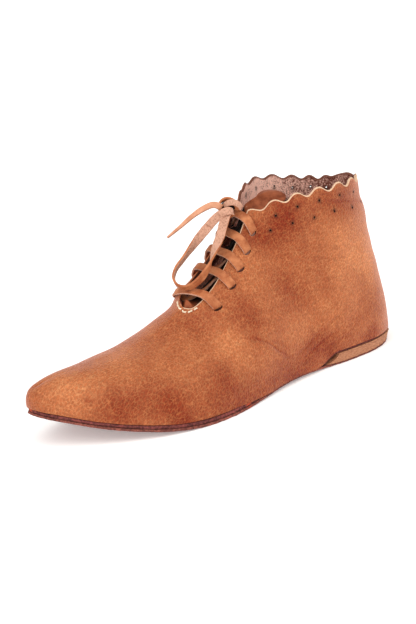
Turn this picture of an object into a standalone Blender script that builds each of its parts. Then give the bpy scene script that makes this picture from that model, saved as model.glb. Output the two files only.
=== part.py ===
"""Left turnshoe: an ankle-high, front-laced leather shoe on a thin sole with one heel lift.

Sizes are in millimetres, with x from the heel's back to the toe, y to the wearer's left (the lateral side) and
z up from the floor. The finished objects are in metres, with the origin on the floor under the shoe's middle.
"""

import bmesh
import bpy
import numpy as np
from mathutils import Matrix

MM = 0.001
MERGE_DISTANCE = 1e-6
SHARP_ANGLE = 0.7
UP = np.array([0.0, 0.0, 1.0])
LATERAL = 1
MEDIAL = -1
SHOE = "turnshoe"

# Sole: a toe spring in front of the ball, a low arch, and flat stretches under the ball and the heel
LENGTH = 280.0
BALL_X = 190.0
TOE_SPRING = 20.0
TOE_SPRING_POWER = 1.8
ARCH_FRONT_X = 165.0
ARCH_BACK_X = 62.0
ARCH_RISE = 2.0

# Layers of the sole and the clearance between pieces
GAP = 0.3
FEATHER_GAP = 0.45
OUTSOLE_THICK = 1.6
OUTSOLE_HEEL_THICK = 1.0
TURN_SOLE_THICK = 1.9
TURN_SOLE_SEAT_THICK = 1.3
LIFT_THICK = 6.5
LIFT_FRONT_LOW_X = 79.0
LIFT_FRONT_HIGH_X = 68.0
SEAT_RISE_FRONT_X = 85.0
SOLE_STATIONS = 91
LIFT_STATIONS = 22

# Sole outline, toe tip to heel back. feather, turn and lift are how far the upper's lower edge, the turn sole and
# the lift's top edge stand in from the outsole's edge (a negative value stands out).
SOLE_COLUMNS = ("x", "lateral", "medial", "feather", "turn", "lift")
SOLE_ROWS = (
    (LENGTH, -9.0, -9.0, 0.0, 0.8, 0.0),
    (276.5, 1.2, -17.0, 0.2, 0.8, 0.0),
    (266.0, 12.0, -25.0, 0.6, 0.8, 0.0),
    (252.0, 25.0, -33.0, 1.0, 0.8, 0.0),
    (235.0, 36.7, -40.0, 1.4, 0.8, 0.0),
    (215.0, 46.6, -45.0, 1.5, 0.8, 0.0),
    (192.0, 51.8, -46.5, 1.5, 0.8, 0.0),
    (170.0, 50.9, -43.5, 1.2, 0.9, 0.0),
    (145.0, 44.9, -37.0, 0.4, 1.0, 0.0),
    (115.0, 37.4, -31.0, -0.4, 1.0, 0.0),
    (85.0, 33.3, -30.0, -0.8, 0.6, -0.2),
    (55.0, 33.9, -33.0, -0.8, 0.2, -0.4),
    (30.0, 31.8, -31.8, -1.1, 0.0, -0.8),
    (11.0, 23.5, -23.5, -1.8, -0.6, -1.6),
    (2.4, 11.5, -11.5, -2.6, -1.4, -2.4),
    (0.0, 0.0, 0.0, -2.8, -1.6, -2.6),
)
HEEL_BACK = len(SOLE_ROWS) - 1

# Upper: each row is one rib of the leather from the sole's edge (foot counts the rows above) to the top line. The
# rib leaves the sole out by low_out and up by low_up, and reaches the top line from out by high_out and down by
# high_down. tilt leans the crown of the foot, higher on the medial side.
UPPER_COLUMNS = ("foot", "x", "lateral_y", "medial_y", "lateral_z", "medial_z",
                 "low_out", "low_up", "high_out", "high_down", "tilt")
VAMP_ROWS = (
    (0.0, 272.0, -9.0, -9.0, 35.5, 35.5, 1.0, 9.0, 5.5, 0.0, 0.0),
    (1.0, 269.0, -8.5, -8.5, 37.0, 37.0, 1.0, 10.0, 7.5, 0.0, 0.0),
    (2.0, 261.0, -7.0, -7.0, 39.2, 39.2, 1.0, 12.0, 12.0, 0.0, 0.0),
    (3.0, 250.0, -5.0, -5.0, 40.6, 40.6, 1.0, 14.0, 18.0, 0.0, 0.0),
    (4.0, 234.0, -2.0, -2.0, 42.0, 42.0, 1.0, 17.0, 24.0, 0.0, 0.5),
    (5.0, 215.0, 1.0, 1.0, 45.0, 45.0, 1.0, 20.0, 28.0, 1.0, 1.5),
    (6.0, 196.0, 4.0, 4.0, 50.4, 50.4, 1.0, 22.0, 29.0, 2.5, 5.5),
    (6.9, 180.0, 6.0, 6.0, 58.6, 58.6, 1.0, 24.0, 27.0, 5.0, 11.0),
    (7.3, 173.0, 6.5, 6.5, 62.4, 62.4, 1.0, 26.0, 25.0, 6.5, 13.0),
)
THROAT_ROWS = (
    VAMP_ROWS[-1],
    (7.48, 171.3, 11.2, 1.6, 61.7, 63.9, 1.0, 26.4, 23.2, 7.1, 11.7),
    (7.6, 168.7, 12.7, -2.6, 62.6, 65.8, 1.0, 26.7, 22.0, 7.6, 10.8),
    (7.7, 166.0, 13.4, -4.3, 64.0, 67.4, 1.0, 27.0, 21.0, 8.0, 10.0),
    (8.2, 155.0, 14.0, -5.0, 71.0, 76.0, 1.0, 29.0, 19.0, 11.0, 5.0),
    (8.8, 141.0, 13.0, -4.0, 84.0, 89.0, 1.0, 31.0, 17.0, 16.0, 0.0),
    (9.4, 127.0, 11.5, -3.0, 99.5, 105.0, 1.0, 34.0, 14.0, 21.0, 0.0),
    (10.0, 115.5, 9.0, -2.0, 114.5, 120.0, 1.0, 36.0, 12.0, 26.0, 0.0),
)
COLLAR_ROWS = (
    THROAT_ROWS[-1],
    (10.7, 99.0, 22.0, -15.0, 120.0, 127.2, 1.5, 36.0, 7.0, 32.0, 0.0),
    (11.6, 70.0, 30.0, -29.0, 122.9, 128.6, 1.5, 36.0, 2.0, 36.0, 0.0),
    (12.6, 42.0, 27.5, -27.5, 123.4, 124.2, 1.0, 36.0, 2.0, 38.0, 0.0),
    (14.0, 21.0, 13.5, -13.5, 123.4, 121.4, -0.5, 30.0, 4.5, 40.0, 0.0),
    (HEEL_BACK, 16.5, 0.0, 0.0, 122.8, 122.8, -0.5, 30.0, 5.0, 40.0, 0.0),
)
UPPER_WALL = 1.8
RIB_SAMPLES = 121
RIB_HEIGHTS = (0.0, 0.06, 0.16, 0.3, 0.46, 0.6, 0.72, 0.82, 0.91, 1.0)
VAMP_COLUMNS = 20
THROAT_COLUMNS = 12
COLLAR_COLUMNS = 58

# Scalloped collar, cut by hand: rounded bites between broader tabs, with a tab at the back. The places are distances
# along the top line from the collar's front corner.
BITES = {LATERAL: (8.6, 25.4, 41.5, 59.0, 76.7, 94.0, 110.5),
         MEDIAL: (5.5, 18.5, 32.0, 54.6, 73.6, 88.4, 100.2, 111.5)}
BITE_DEPTH = {LATERAL: 3.4, MEDIAL: 2.6}
BITE_SHARPNESS = 1.2

# Lace slits beside the throat, and the flat thong that crosses it
SLIT_SHARES = {LATERAL: (0.225, 0.435, 0.6, 0.76, 0.93), MEDIAL: (0.16, 0.41, 0.585, 0.755, 0.93)}
SLIT_INSET = 10.5
SLIT_LENGTH = 7.0
SLIT_WIDTH = 2.2
CUTTER_DEPTH = 8.0
LACE_WIDTH = 6.0
LACE_THICK = 1.6
LACE_CLEARANCE = 0.6
BAR_CROWN = 1.2
BAR_SLANT = 2.0
BAR_LIFT = 0.7
BAR_DROPS = (1.0, 0.65, 0.3, 0.0)
BAR_STATIONS = 17

# Tongue: it lies under the throat's edges from the vamp up, sags halfway, and its round top leans back inside the collar
TONGUE_THICK = 1.5
TONGUE_CLEARANCE = 4.5
TONGUE_SAG = 4.0
TONGUE_ROOT_CLEARANCE = 2.0
TONGUE_ROOT_LENGTH = 24.0
TONGUE_HALF_WIDTH = 19.0
TONGUE_SHARES = (1.0, 0.67, 0.33, 0.0)

# Columns: distance ahead of the throat's foot, share of the width
TONGUE_ROOT_ROWS = (
    (9.0, 0.5),
    (6.0, 0.7),
    (3.0, 0.85),
)
TONGUE_THROAT_START = 0.05
TONGUE_THROAT_ROWS = 14

# Columns: distance back from the throat's head, rise above it, share of the width, share of the bend taken out
TONGUE_TOP_ROWS = (
    (7.0, 3.0, 0.95, 0.2),
    (13.5, 5.2, 0.93, 0.5),
    (18.5, 6.6, 0.92, 0.78),
    (22.0, 7.4, 0.78, 0.92),
    (24.3, 7.7, 0.46, 1.0),
)

# Knot, loop and free end of the thong, each a route that starts at the knot; the loop's last strand ends there too
KNOT_CENTRE = (126.2, 3.0, 119.5)
KNOT_RADII = (6.0, 7.0, 4.6)
KNOT_SEAT = 0.9
KNOT_ROUND = 16
THONG_SEAT = 0.7
THONG_ROOT_WIDTH = 3.6
THONG_ROOT_LENGTH = 9.0
LOOP_START_WAY = (0.45, 0.65, -0.6)
LOOP_FINISH_WAY = (0.85, -0.1, -0.5)
END_START_WAY = (0.75, -0.65, 0.15)
LOOP_POINTS = (
    (133.4, 8.3, 110.4), (141.0, 12.0, 102.3), (148.4, 14.0, 94.9), (156.0, 14.0, 85.5), (162.2, 11.0, 78.2),
    (167.8, 6.0, 73.9), (170.7, 1.0, 74.9), (170.4, -3.0, 79.3), (167.2, -4.0, 83.3), (160.3, -3.0, 89.5),
    (151.1, -1.0, 97.9), (143.1, 1.0, 105.6), (136.4, 2.4, 111.6),
)
END_POINTS = (
    (135.0, -2.2, 120.4), (137.0, -6.0, 119.5), (143.9, -12.0, 116.0), (151.9, -17.0, 109.3),
    (160.4, -21.0, 102.6),
)
LOOP_FACING = (0.62, 0.62, 0.48)
END_FACING = (0.3, 0.45, 0.84)
END_WIDTH = 5.0
END_TIP_WIDTH = 1.2
TAPER_FROM = 0.25
FREE_STEP = 4.5
CORD_NODES = ("lace_knot", "lace_loop", "lace_end")

# Finishes: base colour (linear), roughness
GRAIN_LEATHER = ((0.36, 0.135, 0.055), 0.55)
DARK_LEATHER = ((0.055, 0.028, 0.026), 0.8)
LIFT_LEATHER = ((0.5, 0.26, 0.15), 0.7)
TONGUE_LEATHER = ((0.25, 0.09, 0.045), 0.5)
THONG_LEATHER = ((0.45, 0.22, 0.12), 0.65)


def spline(keys, rows, at):
    """Points at the given keys on a smooth curve through the rows."""
    keys = np.asarray(keys, float)
    rows = np.asarray(rows, float)
    at = np.asarray(at, float)
    step = np.diff(keys)[:, None]
    slope = np.diff(rows, axis=0) / step
    tangent = np.empty_like(rows)
    tangent[1:-1] = (slope[:-1] * step[1:] + slope[1:] * step[:-1]) / (step[:-1] + step[1:])
    tangent[0] = 1.5 * slope[0] - 0.5 * tangent[1]
    tangent[-1] = 1.5 * slope[-1] - 0.5 * tangent[-2]
    cell = np.clip(np.searchsorted(keys, at, side="right") - 1, 0, len(keys) - 2)
    span = step[cell]
    t = (at - keys[cell])[:, None] / span
    start = (2 * t**3 - 3 * t**2 + 1) * rows[cell] + (t**3 - 2 * t**2 + t) * span * tangent[cell]
    end = (3 * t**2 - 2 * t**3) * rows[cell + 1] + (t**3 - t**2) * span * tangent[cell + 1]
    return start + end


def distances(points):
    """Distance along a line of points, from its first one."""
    steps = np.linalg.norm(np.diff(points, axis=0), axis=1)
    return np.concatenate([[0.0], np.cumsum(steps)])


def unit(vectors):
    return vectors / np.linalg.norm(vectors, axis=-1, keepdims=True)


def smooth_step(t):
    t = np.clip(t, 0.0, 1.0)
    return t * t * (3.0 - 2.0 * t)


def floor_line(x):
    """Height of the outsole's underside."""
    toe = np.clip((x - BALL_X) / (LENGTH - BALL_X), 0.0, 1.0) ** TOE_SPRING_POWER
    arch = np.clip((x - ARCH_BACK_X) / (ARCH_FRONT_X - ARCH_BACK_X), 0.0, 1.0)
    return TOE_SPRING * toe + ARCH_RISE * np.sin(np.pi * arch) ** 2


def outsole_top(x):
    return floor_line(x) + OUTSOLE_THICK + (OUTSOLE_HEEL_THICK - OUTSOLE_THICK) * on_lift(x)


def lift_low(x):
    return outsole_top(x) + GAP


def lift_high(x):
    return lift_low(x) + LIFT_THICK


def on_lift(x):
    """0 in front of the lift, 1 behind its front edge."""
    return smooth_step((SEAT_RISE_FRONT_X - x) / (SEAT_RISE_FRONT_X - LIFT_FRONT_HIGH_X))


def turn_sole_low(x):
    return outsole_top(x) + GAP + (LIFT_THICK + GAP) * on_lift(x)


def turn_sole_high(x):
    return turn_sole_low(x) + TURN_SOLE_THICK + (TURN_SOLE_SEAT_THICK - TURN_SOLE_THICK) * on_lift(x)


def feather_line(x):
    """Height of the upper's lower edge."""
    return turn_sole_high(x) + FEATHER_GAP


def sole_edge(at, side, inset=None):
    """Points and outward directions on the sole's outline; at counts the outline's rows."""
    rows = np.array(SOLE_ROWS)
    insets = [SOLE_COLUMNS.index(name) for name in ("feather", "turn", "lift")]
    near, far = [rows[:, [SOLE_COLUMNS.index("x"), SOLE_COLUMNS.index(edge)] + insets]
                 for edge in (("lateral", "medial") if side == LATERAL else ("medial", "lateral"))]
    around = np.vstack([far[3:0:-1], near, far[-2:-5:-1]])
    keys = np.arange(-3, len(rows) + 3)
    at = np.asarray(at, float)
    here = spline(keys, around, at)
    step = 0.001
    along = spline(keys, around[:, :2], at + step) - spline(keys, around[:, :2], at - step)
    outward = unit(np.column_stack([along[:, 1], -along[:, 0]]) * side)
    shift = 0.0
    if inset:
        shift = here[:, [SOLE_COLUMNS.index(inset) - 1]]
    return here[:, :2] - shift * outward, outward


def upper_columns(section, side):
    """The upper's table for one side, without the other side's y and z."""
    away = "medial" if side == LATERAL else "lateral"
    kept = [index for index, name in enumerate(UPPER_COLUMNS) if not name.startswith(away)]
    return np.array(section, float)[:, kept]


def top_distances(section, side):
    """Distance along a section's top line at each row of its table."""
    return distances(upper_columns(section, side)[:, 1:4])


def top_length(section, side):
    return top_distances(section, side)[-1]


def ribs(section, side, along):
    """Rows of the upper's table at distances along a section's top line."""
    return spline(top_distances(section, side), upper_columns(section, side), along)


def upper_surface(section, side, along, height):
    """Points on the outside of the upper: along its top line in millimetres, height from 0 at the sole to 1."""
    foot, x, y, z, low_out, low_up, high_out, high_down, tilt = ribs(section, side, along).T
    edge, outward = sole_edge(foot, side, "feather")
    outward = np.column_stack([outward, np.zeros(len(foot))])
    low = np.column_stack([edge, feather_line(edge[:, 0])])
    high = np.column_stack([x, y, z])
    low_handle = low + outward * low_out[:, None] + UP * low_up[:, None]
    high_handle = high + outward * high_out[:, None] - UP * (high_down + side * tilt)[:, None]
    v = np.asarray(height, float)[..., None]
    curve = (1 - v) ** 3 * low + 3 * v * (1 - v) ** 2 * low_handle
    return curve + 3 * v**2 * (1 - v) * high_handle + v**3 * high


def frame_below_edge(section, side, along, drop):
    """Point, outward normal and edge direction on the upper, at a distance drop below its top line."""
    heights = np.linspace(0.0, 1.0, RIB_SAMPLES)
    step_along = 0.2
    step_down = 0.01
    points, normals, edges = [], [], []
    for place in np.atleast_1d(along):
        rib = upper_surface(section, side, np.full(RIB_SAMPLES, place), heights)
        below = distances(rib[::-1])[::-1]
        height = np.interp(-drop, -below, heights)
        near = np.array([place, place - step_along, place + step_along, place])
        level = np.array([height, height, height, height - step_down])
        here, before, after, lower = upper_surface(section, side, near, level)
        edge = unit(after - before)
        normal = unit(np.cross(edge, here - lower)) * side
        points.append(here)
        normals.append(normal)
        edges.append(edge)
    return np.array(points), np.array(normals), np.array(edges)


def bite_depth(along, side):
    """Depth of the collar's scallops at distances along from the collar's front corner."""
    places = (0.0, *BITES[side], top_length(COLLAR_ROWS, side))
    turns = (-0.5, *range(len(BITES[side])), len(BITES[side]) - 0.5)
    wave = 0.5 + 0.5 * np.cos(2 * np.pi * np.interp(along, places, turns))
    return BITE_DEPTH[side] * wave**BITE_SHARPNESS


def collar_columns(side):
    """Distances along the collar for the upper's columns: the same count on both sides."""
    return np.linspace(0.0, top_length(COLLAR_ROWS, side), COLLAR_COLUMNS + 1)


def upper_side(side):
    """Grid of points on one side of the upper: a row for each height, a column for each rib."""
    vamp = np.linspace(0.0, top_length(VAMP_ROWS, side), VAMP_COLUMNS + 1)
    throat = np.linspace(0.0, top_length(THROAT_ROWS, side), THROAT_COLUMNS + 1)[1:]
    collar = collar_columns(side)
    middle = np.full(RIB_SAMPLES, collar[-1] / 2)
    rib_length = distances(upper_surface(COLLAR_ROWS, side, middle, np.linspace(0.0, 1.0, RIB_SAMPLES)))[-1]
    cut = 1.0 - bite_depth(collar, side) / rib_length
    grid = []
    for height in RIB_HEIGHTS:
        row = [upper_surface(VAMP_ROWS, side, vamp, np.full(len(vamp), height)),
               upper_surface(THROAT_ROWS, side, throat, np.full(len(throat), height)),
               upper_surface(COLLAR_ROWS, side, collar, height * cut)[1:]]
        grid.append(np.vstack(row))
    return np.array(grid)


def leather(name, finish):
    colour, roughness = finish
    material = bpy.data.materials.new(name)
    material.use_nodes = True
    shader = material.node_tree.nodes["Principled BSDF"]
    shader.inputs["Base Color"].default_value = (*colour, 1.0)
    shader.inputs["Roughness"].default_value = roughness
    return material


def mesh_object(name, points, faces, collection, finish=None, closed=True):
    """Object from points in millimetres; coincident points are merged."""
    mesh = bpy.data.meshes.new(name)
    mesh.from_pydata((np.asarray(points) * MM).tolist(), [], faces)
    shape = bmesh.new()
    shape.from_mesh(mesh)
    bmesh.ops.remove_doubles(shape, verts=shape.verts, dist=MERGE_DISTANCE)
    if closed:
        bmesh.ops.recalc_face_normals(shape, faces=shape.faces)
    shape.to_mesh(mesh)
    shape.free()
    mesh.shade_smooth()
    mesh.set_sharp_from_angle(angle=SHARP_ANGLE)
    item = bpy.data.objects.new(name, mesh)
    collection.objects.link(item)
    if finish:
        mesh.materials.append(leather(name, finish))
    return item


def grid_faces(rows, columns, start=0, flip=False):
    faces = []
    for i in range(rows - 1):
        for j in range(columns - 1):
            a = start + i * columns + j
            face = (a, a + 1, a + columns + 1, a + columns)
            faces.append(face[::-1] if flip else face)
    return faces


def sole_layer(name, levels, collection, finish):
    """Closed slab lofted through outlines; each level gives its stations, its inset column and its height."""
    points, faces = [], []
    count = len(levels[0][0])
    for stations, inset, height in levels:
        for side in (LATERAL, MEDIAL):
            edge, _ = sole_edge(stations, side, inset)
            points.append(np.column_stack([edge, height(edge[:, 0])]))
    below = 0
    for level in range(1, len(levels)):
        above = below + 2 * count
        ring_low = [below + j for j in range(count)] + [below + 2 * count - 1 - j for j in range(count)]
        ring_high = [above + j for j in range(count)] + [above + 2 * count - 1 - j for j in range(count)]
        for j in range(2 * count):
            k = (j + 1) % (2 * count)
            faces.append((ring_low[j], ring_low[k], ring_high[k], ring_high[j]))
        below = above
    for base, flip in ((0, False), (below, True)):
        faces += grid_faces(2, count, base, flip)
    return mesh_object(name, np.vstack(points), faces, collection, finish)


def row_at_x(x):
    """Row number of the sole's outline at a distance x, behind the ball."""
    xs = np.array([row[0] for row in SOLE_ROWS])
    return np.interp(-x, -xs, np.arange(len(xs)))


def make_sole(collection):
    stations = np.linspace(0.0, HEEL_BACK, SOLE_STATIONS)
    sole_layer("outsole", [(stations, None, floor_line), (stations, None, outsole_top)], collection, DARK_LEATHER)
    sole_layer("turn_sole", [(stations, "turn", turn_sole_low), (stations, "turn", turn_sole_high)],
               collection, DARK_LEATHER)
    low = np.linspace(row_at_x(LIFT_FRONT_LOW_X), HEEL_BACK, LIFT_STATIONS)
    high = np.linspace(row_at_x(LIFT_FRONT_HIGH_X), HEEL_BACK, LIFT_STATIONS)
    sole_layer("heel_lift", [(low, None, lift_low), (high, "lift", lift_high)],
               collection, LIFT_LEATHER)


def slit_places(side):
    length = top_length(THROAT_ROWS, side)
    return frame_below_edge(THROAT_ROWS, side, np.array(SLIT_SHARES[side]) * length, SLIT_INSET)


def make_slit_cutter(collection):
    """All lace slits as boxes through the wall, in one cutter."""
    points, faces = [], []
    box = ((0, 1, 3, 2), (4, 6, 7, 5), (0, 4, 5, 1), (2, 3, 7, 6), (0, 2, 6, 4), (1, 5, 7, 3))
    for side in (LATERAL, MEDIAL):
        for centre, normal, edge in zip(*slit_places(side)):
            across = np.cross(normal, edge)
            base = len(points)
            for deep in (-0.5, 0.5):
                for wide in (-0.5, 0.5):
                    for long in (-0.5, 0.5):
                        points.append(centre + deep * CUTTER_DEPTH * normal + wide * SLIT_WIDTH * across
                                      + long * SLIT_LENGTH * edge)
            faces += [tuple(base + corner for corner in face) for face in box]
    cutter = mesh_object("slit_cutter", points, faces, collection)
    cutter.hide_render = True
    cutter.display_type = "WIRE"
    return cutter


def make_upper(collection, cutter):
    sides = [upper_side(LATERAL), upper_side(MEDIAL)]
    rows, columns = sides[0].shape[:2]
    points = np.vstack([side.reshape(-1, 3) for side in sides])
    faces = grid_faces(rows, columns)
    faces += grid_faces(rows, columns, rows * columns, flip=True)
    upper = mesh_object("upper", points, faces, collection, GRAIN_LEATHER, closed=False)
    wall = upper.modifiers.new("wall", "SOLIDIFY")
    wall.thickness = UPPER_WALL * MM
    wall.offset = -1.0
    wall.use_even_offset = True
    slits = upper.modifiers.new("lace slits", "BOOLEAN")
    slits.operation = "DIFFERENCE"
    slits.object = cutter
    return upper


def tongue_row(section, along, clearance, width=1.0):
    """One row across the tongue, under the upper's inside, from the lateral to the medial side."""
    depth = UPPER_WALL + clearance
    share = along / top_length(section, LATERAL)
    places = {side: share * top_length(section, side) for side in (LATERAL, MEDIAL)}
    tops = [frame_below_edge(section, side, places[side], 0.0)[0][0] for side in places]
    reach = width * TONGUE_HALF_WIDTH - np.linalg.norm(tops[0] - tops[1]) / 2
    halves = []
    for side in places:
        frames = [frame_below_edge(section, side, places[side], part * reach) for part in TONGUE_SHARES]
        halves.append([point[0] - depth * normal[0] for point, normal, _ in frames])
    lateral, medial = halves
    middle = (lateral[-1] + medial[-1]) / 2
    return np.array(lateral + [middle] + medial[::-1])


def make_tongue(collection):
    vamp = top_length(VAMP_ROWS, LATERAL)
    throat = top_length(THROAT_ROWS, LATERAL)
    grid = [tongue_row(VAMP_ROWS, vamp - ahead, TONGUE_ROOT_CLEARANCE, width) for ahead, width in TONGUE_ROOT_ROWS]
    for along in np.linspace(TONGUE_THROAT_START, 1.0, TONGUE_THROAT_ROWS) * throat:
        eased = smooth_step(along / TONGUE_ROOT_LENGTH)
        clearance = TONGUE_ROOT_CLEARANCE + (TONGUE_CLEARANCE - TONGUE_ROOT_CLEARANCE) * eased
        sag = TONGUE_SAG * np.sin(np.pi * along / throat) ** 2
        grid.append(tongue_row(THROAT_ROWS, along, clearance + sag))
    bent = grid[-1] - grid[-1][len(TONGUE_SHARES)]
    reach = distances(bent)
    level = np.zeros_like(bent)
    level[:, 1] = reach[len(TONGUE_SHARES)] - reach
    head = grid[-1][len(TONGUE_SHARES)]
    for back, rise, width, flat in TONGUE_TOP_ROWS:
        grid.append(head + width * (bent + flat * (level - bent)) + np.array([-back, 0.0, rise]))
    grid = np.array(grid)
    rows, columns = grid.shape[:2]
    faces = grid_faces(rows, columns, flip=True)
    tongue = mesh_object("tongue", grid.reshape(-1, 3), faces, collection, TONGUE_LEATHER, closed=False)
    sheet = tongue.modifiers.new("thickness", "SOLIDIFY")
    sheet.thickness = TONGUE_THICK * MM
    sheet.offset = -1.0
    return tongue


def thong(name, centres, normals, widths, collection):
    """Flat strip along a line of points, facing its normals, with closed ends."""
    along = unit(np.gradient(centres, axis=0))
    across = unit(np.cross(normals, along))
    face = np.cross(along, across)
    half = 0.5 * np.asarray(widths)[:, None] * across
    thick = 0.5 * LACE_THICK * face
    rings = np.stack([centres - half - thick, centres + half - thick, centres + half + thick,
                      centres - half + thick], axis=1)
    count = len(centres)
    faces = [(0, 1, 2, 3), tuple(4 * (count - 1) + k for k in (3, 2, 1, 0))]
    for i in range(count - 1):
        for k in range(4):
            a, b = 4 * i + k, 4 * i + (k + 1) % 4
            faces.append((a, a + 4, b + 4, b))
    return mesh_object(name, rings.reshape(-1, 3), faces, collection, THONG_LEATHER)


def make_bars(collection):
    """The thong's runs across the throat, from slit to slit; the top one rises to the knot."""
    rise = LACE_CLEARANCE + LACE_THICK / 2
    inward = 1.0 - np.array(BAR_DROPS)
    drops = np.array(BAR_DROPS) * SLIT_INSET
    last = len(SLIT_SHARES[LATERAL]) - 1
    for number in range(last + 1):
        runs = {}
        for side in (LATERAL, MEDIAL):
            place = SLIT_SHARES[side][number] * top_length(THROAT_ROWS, side)
            slant = -side * BAR_SLANT * inward
            frames = [frame_below_edge(THROAT_ROWS, side, place + shift, drop) for shift, drop in zip(slant, drops)]
            normal = np.array([frame[1][0] for frame in frames])
            lifted = (rise + BAR_LIFT * inward)[:, None] * normal
            runs[side] = (np.array([frame[0][0] for frame in frames]) + lifted, normal)
        facing = unit(runs[LATERAL][1][-1] + runs[MEDIAL][1][-1])
        crown = (runs[LATERAL][0][-1] + runs[MEDIAL][0][-1]) / 2 + BAR_CROWN * facing
        if number == last:
            knot_reach = np.linalg.norm(np.array(KNOT_RADII) * facing)
            crown = np.array(KNOT_CENTRE) - (knot_reach + KNOT_SEAT + LACE_THICK / 2) * facing
        centres = np.vstack([runs[LATERAL][0], [crown], runs[MEDIAL][0][::-1]])
        normals = np.vstack([runs[LATERAL][1], [facing], runs[MEDIAL][1][::-1]])
        keys = distances(centres)
        at = np.linspace(0.0, keys[-1], BAR_STATIONS)
        thong(f"lace_bar_{number + 1}", spline(keys, centres, at), unit(spline(keys, normals, at)),
              np.full(BAR_STATIONS, LACE_WIDTH), collection)


def make_knot(collection):
    knot = bmesh.new()
    bmesh.ops.create_uvsphere(knot, u_segments=KNOT_ROUND, v_segments=KNOT_ROUND // 2, radius=1.0)
    points = [np.array(KNOT_CENTRE) + np.array(KNOT_RADII) * np.array(vert.co) for vert in knot.verts]
    faces = [tuple(vert.index for vert in face.verts) for face in knot.faces]
    knot.free()
    mesh_object("lace_knot", points, faces, collection, THONG_LEATHER)


def knot_seat(way):
    """Point just off the knot's surface, in a direction from its middle."""
    way = unit(np.array(way))
    reach = 1.0 / np.linalg.norm(way / np.array(KNOT_RADII))
    return np.array(KNOT_CENTRE) + (reach + THONG_SEAT) * way


def make_free_thong(name, route, facing, width, collection):
    """A free run of the thong along its route, facing one way; width gives the width at shares of its length."""
    keys = distances(route)
    at = np.linspace(0.0, keys[-1], 1 + int(keys[-1] / FREE_STEP))
    normals = np.tile(unit(np.array(facing)), (len(at), 1))
    thong(name, spline(keys, route, at), normals, width(at, keys[-1]), collection)


def loop_width(at, length):
    """Both strands of the loop narrow where they enter the knot."""
    eased = smooth_step(np.minimum(at, length - at) / THONG_ROOT_LENGTH)
    return THONG_ROOT_WIDTH + (LACE_WIDTH - THONG_ROOT_WIDTH) * eased


def end_width(at, length):
    """The free end narrows at the knot and to its cut tip."""
    root = smooth_step(at / THONG_ROOT_LENGTH)
    tip = np.clip((at / length - TAPER_FROM) / (1.0 - TAPER_FROM), 0.0, 1.0)
    return THONG_ROOT_WIDTH + (END_WIDTH - THONG_ROOT_WIDTH) * root + (END_TIP_WIDTH - END_WIDTH) * tip


def make_free_thongs(collection):
    loop = np.vstack([knot_seat(LOOP_START_WAY), LOOP_POINTS, knot_seat(LOOP_FINISH_WAY)])
    make_free_thong("lace_loop", loop, LOOP_FACING, loop_width, collection)
    end = np.vstack([knot_seat(END_START_WAY), END_POINTS])
    make_free_thong("lace_end", end, END_FACING, end_width, collection)


def put_origin_under_middle(collection):
    """Shift every piece so that the origin lies on the floor under the middle of the shoe without its free cord."""
    view = bpy.context.evaluated_depsgraph_get()
    corners = []
    for item in collection.objects:
        if item.name not in CORD_NODES:
            corners += [vert.co for vert in item.evaluated_get(view).data.vertices]
    corners = np.array(corners)
    middle = (corners.min(axis=0) + corners.max(axis=0)) / 2
    for item in bpy.data.objects:
        item.data.transform(Matrix.Translation((-middle[0], -middle[1], 0.0)))


def make_collections():
    for item in list(bpy.data.objects):
        bpy.data.objects.remove(item, do_unlink=True)
    parts = bpy.data.collections.new(SHOE)
    cutters = bpy.data.collections.new("cutters")
    for collection in (parts, cutters):
        bpy.context.scene.collection.children.link(collection)
    return parts, cutters


def main():
    parts, cutters = make_collections()
    cutter = make_slit_cutter(cutters)
    make_sole(parts)
    make_upper(parts, cutter)
    make_tongue(parts)
    make_bars(parts)
    make_knot(parts)
    make_free_thongs(parts)
    put_origin_under_middle(parts)


if __name__ == "__main__":
    main()
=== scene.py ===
"""Left turnshoe of tan leather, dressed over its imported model.

Sizes are in millimetres, with x from the heel's back to the toe, y to the wearer's left (the lateral side) and z up
from the floor; place() turns them into the model's own frame, in metres.
"""

import bmesh
import bpy
import numpy as np
from mathutils import Matrix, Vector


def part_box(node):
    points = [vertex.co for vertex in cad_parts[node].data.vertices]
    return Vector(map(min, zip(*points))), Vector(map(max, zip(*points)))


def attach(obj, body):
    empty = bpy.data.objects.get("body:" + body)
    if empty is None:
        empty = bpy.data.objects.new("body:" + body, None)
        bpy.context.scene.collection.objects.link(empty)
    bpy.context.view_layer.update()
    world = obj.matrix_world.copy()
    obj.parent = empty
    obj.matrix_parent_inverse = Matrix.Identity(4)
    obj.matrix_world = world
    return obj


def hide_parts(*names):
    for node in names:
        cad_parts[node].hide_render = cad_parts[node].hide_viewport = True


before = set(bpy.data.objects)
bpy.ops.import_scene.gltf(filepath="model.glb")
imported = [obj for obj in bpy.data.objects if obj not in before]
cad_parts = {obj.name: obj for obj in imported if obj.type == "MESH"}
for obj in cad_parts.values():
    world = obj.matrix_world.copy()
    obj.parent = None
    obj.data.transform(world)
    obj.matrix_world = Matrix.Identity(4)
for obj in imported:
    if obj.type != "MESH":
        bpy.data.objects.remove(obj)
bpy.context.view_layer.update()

MM = 0.001
UP = np.array([0.0, 0.0, 1.0])
LATERAL = 1
MEDIAL = -1
SIDES = (LATERAL, MEDIAL)

# Smooth uneven waves: how many are added up, the spread of their lengths, and their highest sum
RIPPLE_WAVES = 7
RIPPLE_SPREAD = (0.7, 1.5)
RIPPLE_PEAK = 4.0

# Photograph: the camera's side turn, height and lean, its distance, and where it looks
IMAGE_WIDTH = 416
IMAGE_HEIGHT = 624
VIEW_TURN = np.radians(36.0)
VIEW_RISE = np.radians(15.0)
VIEW_LEAN = np.radians(-6.21)
VIEW_DISTANCE = 650.0
VIEW_TARGET = np.array([140.0, 0.0, 50.0])
TARGET_PIXEL = np.array([219.91, 312.01])
FOCAL_PIXELS = 988.0
SENSOR = 36.0

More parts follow.
